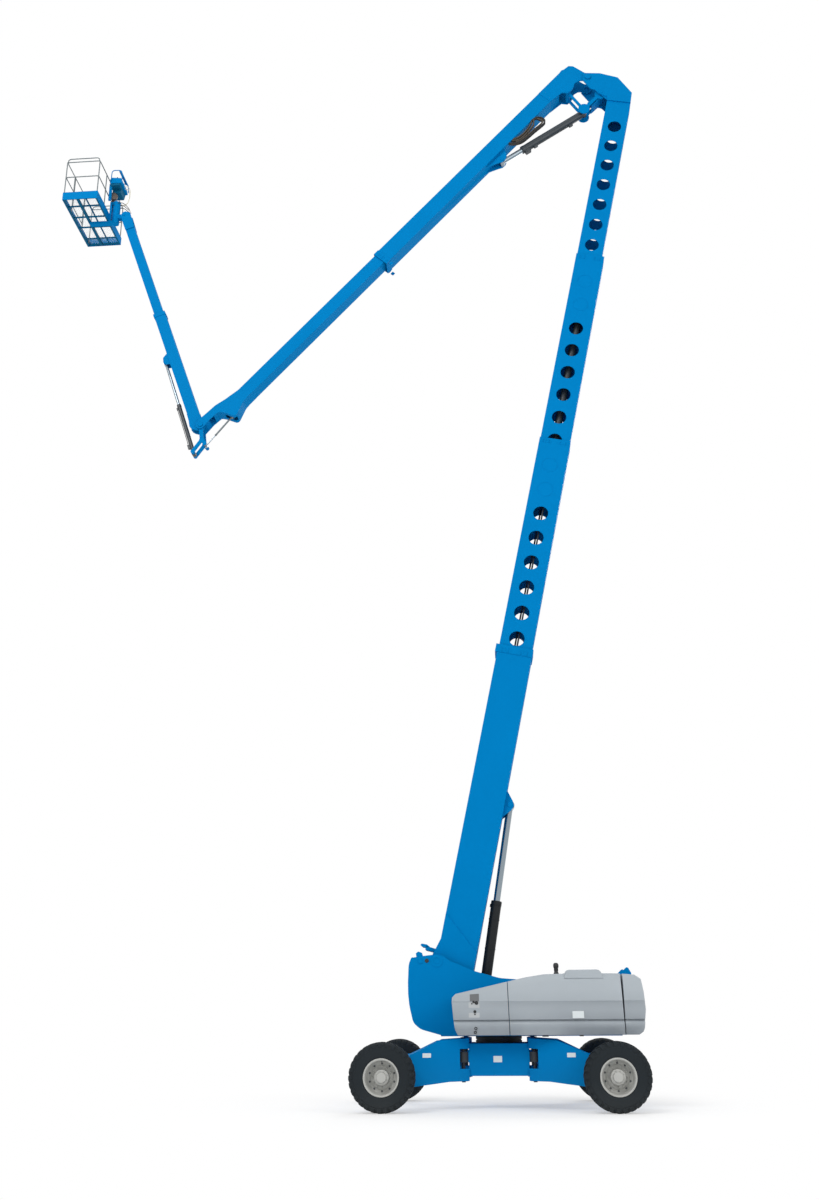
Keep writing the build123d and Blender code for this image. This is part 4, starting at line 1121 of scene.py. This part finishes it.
class BOOMLIFT_OT_jib(bpy.types.Operator):
    """Bellcrank, jib and their cylinders"""
    bl_idname = "boomlift.jib"
    bl_label = "Jib"

    def execute(self, context):
        for n, finish, b in (("jib_bellcrank", "boom", 0.004), ("jib_base", "boom", 0.006),
                             ("jib_fly", "boom", 0.005), ("jib_barrel", "barrel", 0.003),
                             ("jib_rod", "chrome", 0.001)):
            dress(n, finish, b)
        self.level_link()
        lug = FRAMES["jib"] @ Vector((1.925, 0, 0.312))
        s = Shape(cylinder_frame((-6.510, 13.610), (lug.x, lug.z)))
        cylinder_fittings(s, 1.350, 0.046, 0.033, 0.16)
        detail(s, "jib_fittings", "barrel", "jib_barrel", 0.0015)
        t = Shape("jib")
        for sy in (-1, 1):
            t.cap((0, sy * 0.190, 0), (0, sy, 0), 0.056, 0.006, 0.048, 0.010, 28)
        detail(t, "jib_pin_caps", "boom", "jib_bellcrank", 0.001)
        h = Shape("jib")
        for k in range(3):
            h.sweep([(x, 0.128, 0.02 + 0.03 * k) for x in (0.5, 1.5, 2.6, 3.1)], 0.010, 8, 4)
        for x in (0.8, 1.6, 2.4, 3.0):
            h.block(x - 0.015, x + 0.015, 0.115, 0.142, -0.005, 0.105)
        detail(h, "jib_hoses", "hose", "jib_base", slot="cast")
        return {"FINISHED"}

    def level_link(self):
        """Slim cylinder that holds the bellcrank level."""
        at = cylinder_frame(LEVEL_HEAD, LEVEL_FOOT)
        length = math.dist(LEVEL_HEAD, LEVEL_FOOT)
        s = Shape(at)
        s.ring((0, -0.045, 0), (0, 0.045, 0), 0.038, 0.0225, 28)
        s.lathe([(0.0, 0.030), (0.019, 0.034), (0.0205, 0.045), (0.0205, 0.560), (0.024, 0.564),
                 (0.024, 0.592), (0.020, 0.600), (0.0, 0.600)], (0, 0, 0), (1, 0, 0), 28, False)
        redraw(s, "level_tube", "rail", "level_barrel", bevel=0.001)
        r = Shape(at)
        r.ring((length, -0.040, 0), (length, 0.040, 0), 0.034, 0.0225, 28)
        r.rod((0.240, 0, 0), (length - 0.028, 0, 0), 0.0125, 24)
        redraw(r, "level_plunger", "chrome", "level_rod", bevel=0.001)


# ---- platform ------------------------------------------------------------------------
class BOOMLIFT_OT_platform(bpy.types.Operator):
    """Rotator, floor, rails, gate and control console"""
    bl_idname = "boomlift.platform"
    bl_label = "Platform"

    def execute(self, context):
        dress("platform_mount", "boom", 0.004)
        dress("platform_support", "boom", 0.005)
        self.floor()
        self.fence()
        self.console(context.scene.boomlift_size.hose)
        return {"FINISHED"}

    def floor(self):
        """Toe boards, floor frame, and the wire floor that lets the light through."""
        x0, x1, y0, y1, z = DECK
        s = Shape()
        for a, b in ((x0, x0 + TOE), (x1 - TOE, x1)):
            s.block(a, b, y0, y1, z - 0.06, z + 0.15)
        for a, b in ((y0, y0 + TOE), (y1 - TOE, y1)):
            s.block(x0 + TOE, x1 - TOE, a, b, z - 0.06, z + 0.15)
        redraw(s, "toe_boards", "boom", "platform_floor", bevel=0.0015)
        f = Shape()
        for x, wide, deep in ((x0 + POST_IN, 0.040, 0.056), (x1 - POST_IN, 0.040, 0.056),
                              (-9.500, 0.060, 0.056), (-9.300, 0.022, 0.040)):
            f.block(x - wide / 2, x + wide / 2, y0 + TOE, y1 - TOE, z - 0.003 - deep, z - 0.003)
        for y, wide in ((y0 + POST_IN, 0.040), (y1 - POST_IN, 0.040), (-0.600, 0.020),
                        (-0.190, 0.020), (0.200, 0.020), (0.650, 0.020)):
            f.block(x0 + TOE, x1 - TOE, y - wide / 2, y + wide / 2, z - 0.040, z - 0.002)
        # the floor frame is drawn in the boom enamel darkened as painted shade
        detail(f, "floor_frame", "under", "platform_floor", 0.0015)
        w = Shape()
        nx, ny = round((x1 - x0) / MESH_PITCH), round((y1 - y0) / MESH_PITCH)
        for k in range(1, nx):
            x = x0 + (x1 - x0) * k / nx
            w.block(x - MESH_WIRE / 2, x + MESH_WIRE / 2, y0 + TOE, y1 - TOE, z - MESH_WIRE, z)
        for k in range(1, ny):
            y = y0 + (y1 - y0) * k / ny
            w.block(x0 + TOE, x1 - TOE, y - MESH_WIRE / 2, y + MESH_WIRE / 2, z, z + MESH_WIRE)
        detail(w, "floor_mesh", "mesh", "platform_floor", slot="rail_alu")

    def fence(self):
        """Bent tube rails on their posts, a raised loop on each side, and the gate."""
        x0, x1, y0, y1, z = DECK
        x0, x1, y0, y1 = x0 + POST_IN, x1 - POST_IN, y0 + POST_IN, y1 - POST_IN
        top, mid, low = z + 1.050, z + 0.610, z + 0.200
        r, near, far = RAIL_TUBE / 2, GATE[0] - GATE_POST, GATE[1] + GATE_POST
        s = Shape()
        for h in (top, mid):
            s.sweep(bend([(x0, near, h), (x0, y0, h), (x1, y0, h), (x1, y1, h), (x0, y1, h),
                          (x0, far, h)], 0.060), r, 12, 1)
        for x, y in ((x0, y0), (x0, y1), (x1, y0), (x1, y1), (x0, near), (x0, far),
                     (x1, -0.380), (x1, 0.380)):
            s.rod((x, y, z), (x, y, top), r * 1.04, 14)
        for y in (y0, y1):
            s.sweep(bend([(x0 + 0.01, y, top), (x0 + 0.03, y, top + 0.095),
                          (x1 - 0.03, y, top + 0.095), (x1 - 0.01, y, top)], 0.080), r, 12, 1)
        redraw(s, "fence_rails", "rail", "platform_rails")
        g = Shape()
        for h in (top, mid, low):
            g.rod((x0, GATE[0], h), (x0, GATE[1], h), r, 12)
        for y in GATE:
            g.rod((x0, y, low - 0.020), (x0, y, top + 0.018), r * 1.04, 14)
        redraw(g, "gate_rails", "rail", "platform_gate")

    def console(self, d):
        """Shallow control box with its guard loop, the load sensor below and the cables."""
        z = 21.060
        s = Shape()
        s.prism(rounded([(-9.000, z), (-9.000, z + 0.110), (-8.960, z + 0.170),
                         (-8.720, z + 0.140), (-8.690, z)], 0.015, 4), -0.240, 0.240)
        for y in (-0.180, 0.180):
            s.block(-9.018, -8.950, y - 0.020, y + 0.020, z - 0.470, z + 0.010)
        redraw(s, "console_box", "boom", "control_console", bevel=0.004)
        b = Shape()
        b.prism(rounded([(-8.980, z - 0.150), (-8.980, z + 0.002), (-8.745, z + 0.002),
                         (-8.775, z - 0.150)], 0.012, 3), -0.060, 0.235)
        b.prism([(-8.985, z - 0.07), (-8.985, z + 0.002), (-8.740, z + 0.002),
                 (-8.760, z - 0.05)], -0.225, -0.060)
        # the boxes under the console are drawn in the boom enamel darkened as painted shade
        detail(b, "console_under_boxes", "under", "control_console", 0.004)
        g = Shape()
        for y in (-0.255, 0.255):
            g.sweep([(-8.965, y, z + 0.06), (-8.962, y, z + 0.26), (-8.950, y, z + 0.335),
                     (-8.900, y, z + 0.365), (-8.800, y, z + 0.362), (-8.730, y, z + 0.340),
                     (-8.705, y, z + 0.260), (-8.690, y, z + 0.08)], 0.011, 12, 5)
        g.prism(rounded([(-8.785, z + 0.325), (-8.775, z + 0.362), (-8.722, z + 0.345),
                         (-8.690, z + 0.255), (-8.705, z + 0.245), (-8.740, z + 0.315)], 0.006, 3),
                -0.255, 0.255)
        detail(g, "console_guard", "boom", "control_console", 0.002)
        k = Shape()
        for i in range(5):
            y = -0.17 + 0.085 * i
            k.lathe([(0, 0), (0.020, 0), (0.020, 0.012), (0.008, 0.018), (0.007, 0.050),
                     (0.015, 0.058), (0.012, 0.072), (0, 0.075)],
                    (-8.850, y, z + 0.150), (0.1, 0, 1), 16, False)
        detail(k, "console_switches", "abs", "control_console", slot="black_plastic")
        r = Shape()
        r.lathe([(0, 0), (0.090, 0), (0.104, 0.010), (0.108, 0.040), (0.100, 0.062),
                 (0.070, 0.075), (0, 0.078)], (-8.955, -0.030, 20.800), (0.35, -1, 0.05), 32, False)
        r.block(-8.995, -8.915, -0.030, 0.050, 20.640, 20.760)
        detail(r, "load_sensor", "alloy", "platform_support", 0.003, slot="cast")
        c = Shape()
        c.sweep([(-8.700, -0.05, z + 0.02), (-8.600, -0.04, z + 0.02), (-8.545, -0.03, z - 0.08),
                 (-8.540, -0.02, z - 0.25), (-8.575, -0.01, z - 0.42), (-8.660, 0, z - 0.50),
                 (-8.780, 0, z - 0.46), (-8.830, 0, z - 0.42)], d * 0.30, 10, 5)
        c.sweep([(-8.700, 0.03, z + 0.01), (-8.620, 0.04, z + 0.00), (-8.575, 0.04, z - 0.10),
                 (-8.575, 0.04, z - 0.27), (-8.610, 0.04, z - 0.40), (-8.700, 0.04, z - 0.46),
                 (-8.820, 0.04, z - 0.42)], d * 0.26, 10, 5)
        detail(c, "console_cables", "nylon", "platform_support", slot="rim_paint")
        h = Shape()
        for i in range(3):
            y = -0.075 + 0.07 * i
            h.sweep([(-8.90, y, 20.500), (-8.80, y, 20.585 - 0.02 * i),
                     (-8.68, y, 20.570 - 0.03 * i), (-8.58, y, 20.480 - 0.03 * i),
                     (-8.50, y, 20.370)], d * 0.30, 10, 5)
        detail(h, "mount_hoses", "hose", "platform_mount", slot="cast")


OPERATORS = [BOOMLIFT_OT_stage, BOOMLIFT_OT_finishes, BOOMLIFT_OT_chassis, BOOMLIFT_OT_wheels,
             BOOMLIFT_OT_turntable, BOOMLIFT_OT_primary, BOOMLIFT_OT_secondary, BOOMLIFT_OT_jib,
             BOOMLIFT_OT_platform]


class BOOMLIFT_PT_panel(bpy.types.Panel):
    """Lists the machine's settings and its groups of pieces"""
    bl_idname = "BOOMLIFT_PT_panel"
    bl_label = "Boom Lift"
    bl_space_type = "VIEW_3D"
    bl_region_type = "UI"
    bl_category = "Boom Lift"

    def draw(self, context):
        for group in (context.scene.boomlift_paint, context.scene.boomlift_size):
            for prop in group.bl_rna.properties:
                if prop.identifier not in ("rna_type", "name"):
                    self.layout.prop(group, prop.identifier)
        for op in OPERATORS:
            self.layout.operator(op.bl_idname)


CLASSES = [PaintSettings, SizeSettings, *OPERATORS, BOOMLIFT_PT_panel]


def register():
    """Registers the classes and hangs the settings on the scene."""
    for cls in CLASSES:
        bpy.utils.register_class(cls)
    bpy.types.Scene.boomlift_paint = bpy.props.PointerProperty(type=PaintSettings)
    bpy.types.Scene.boomlift_size = bpy.props.PointerProperty(type=SizeSettings)


def unregister():
    """Undoes register."""
    del bpy.types.Scene.boomlift_size
    del bpy.types.Scene.boomlift_paint
    for cls in reversed(CLASSES):
        bpy.utils.unregister_class(cls)


def main():
    """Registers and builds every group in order."""
    register()
    for op in OPERATORS:
        getattr(bpy.ops.boomlift, op.bl_idname.split(".")[1])()


if __name__ == "__main__":
    main()
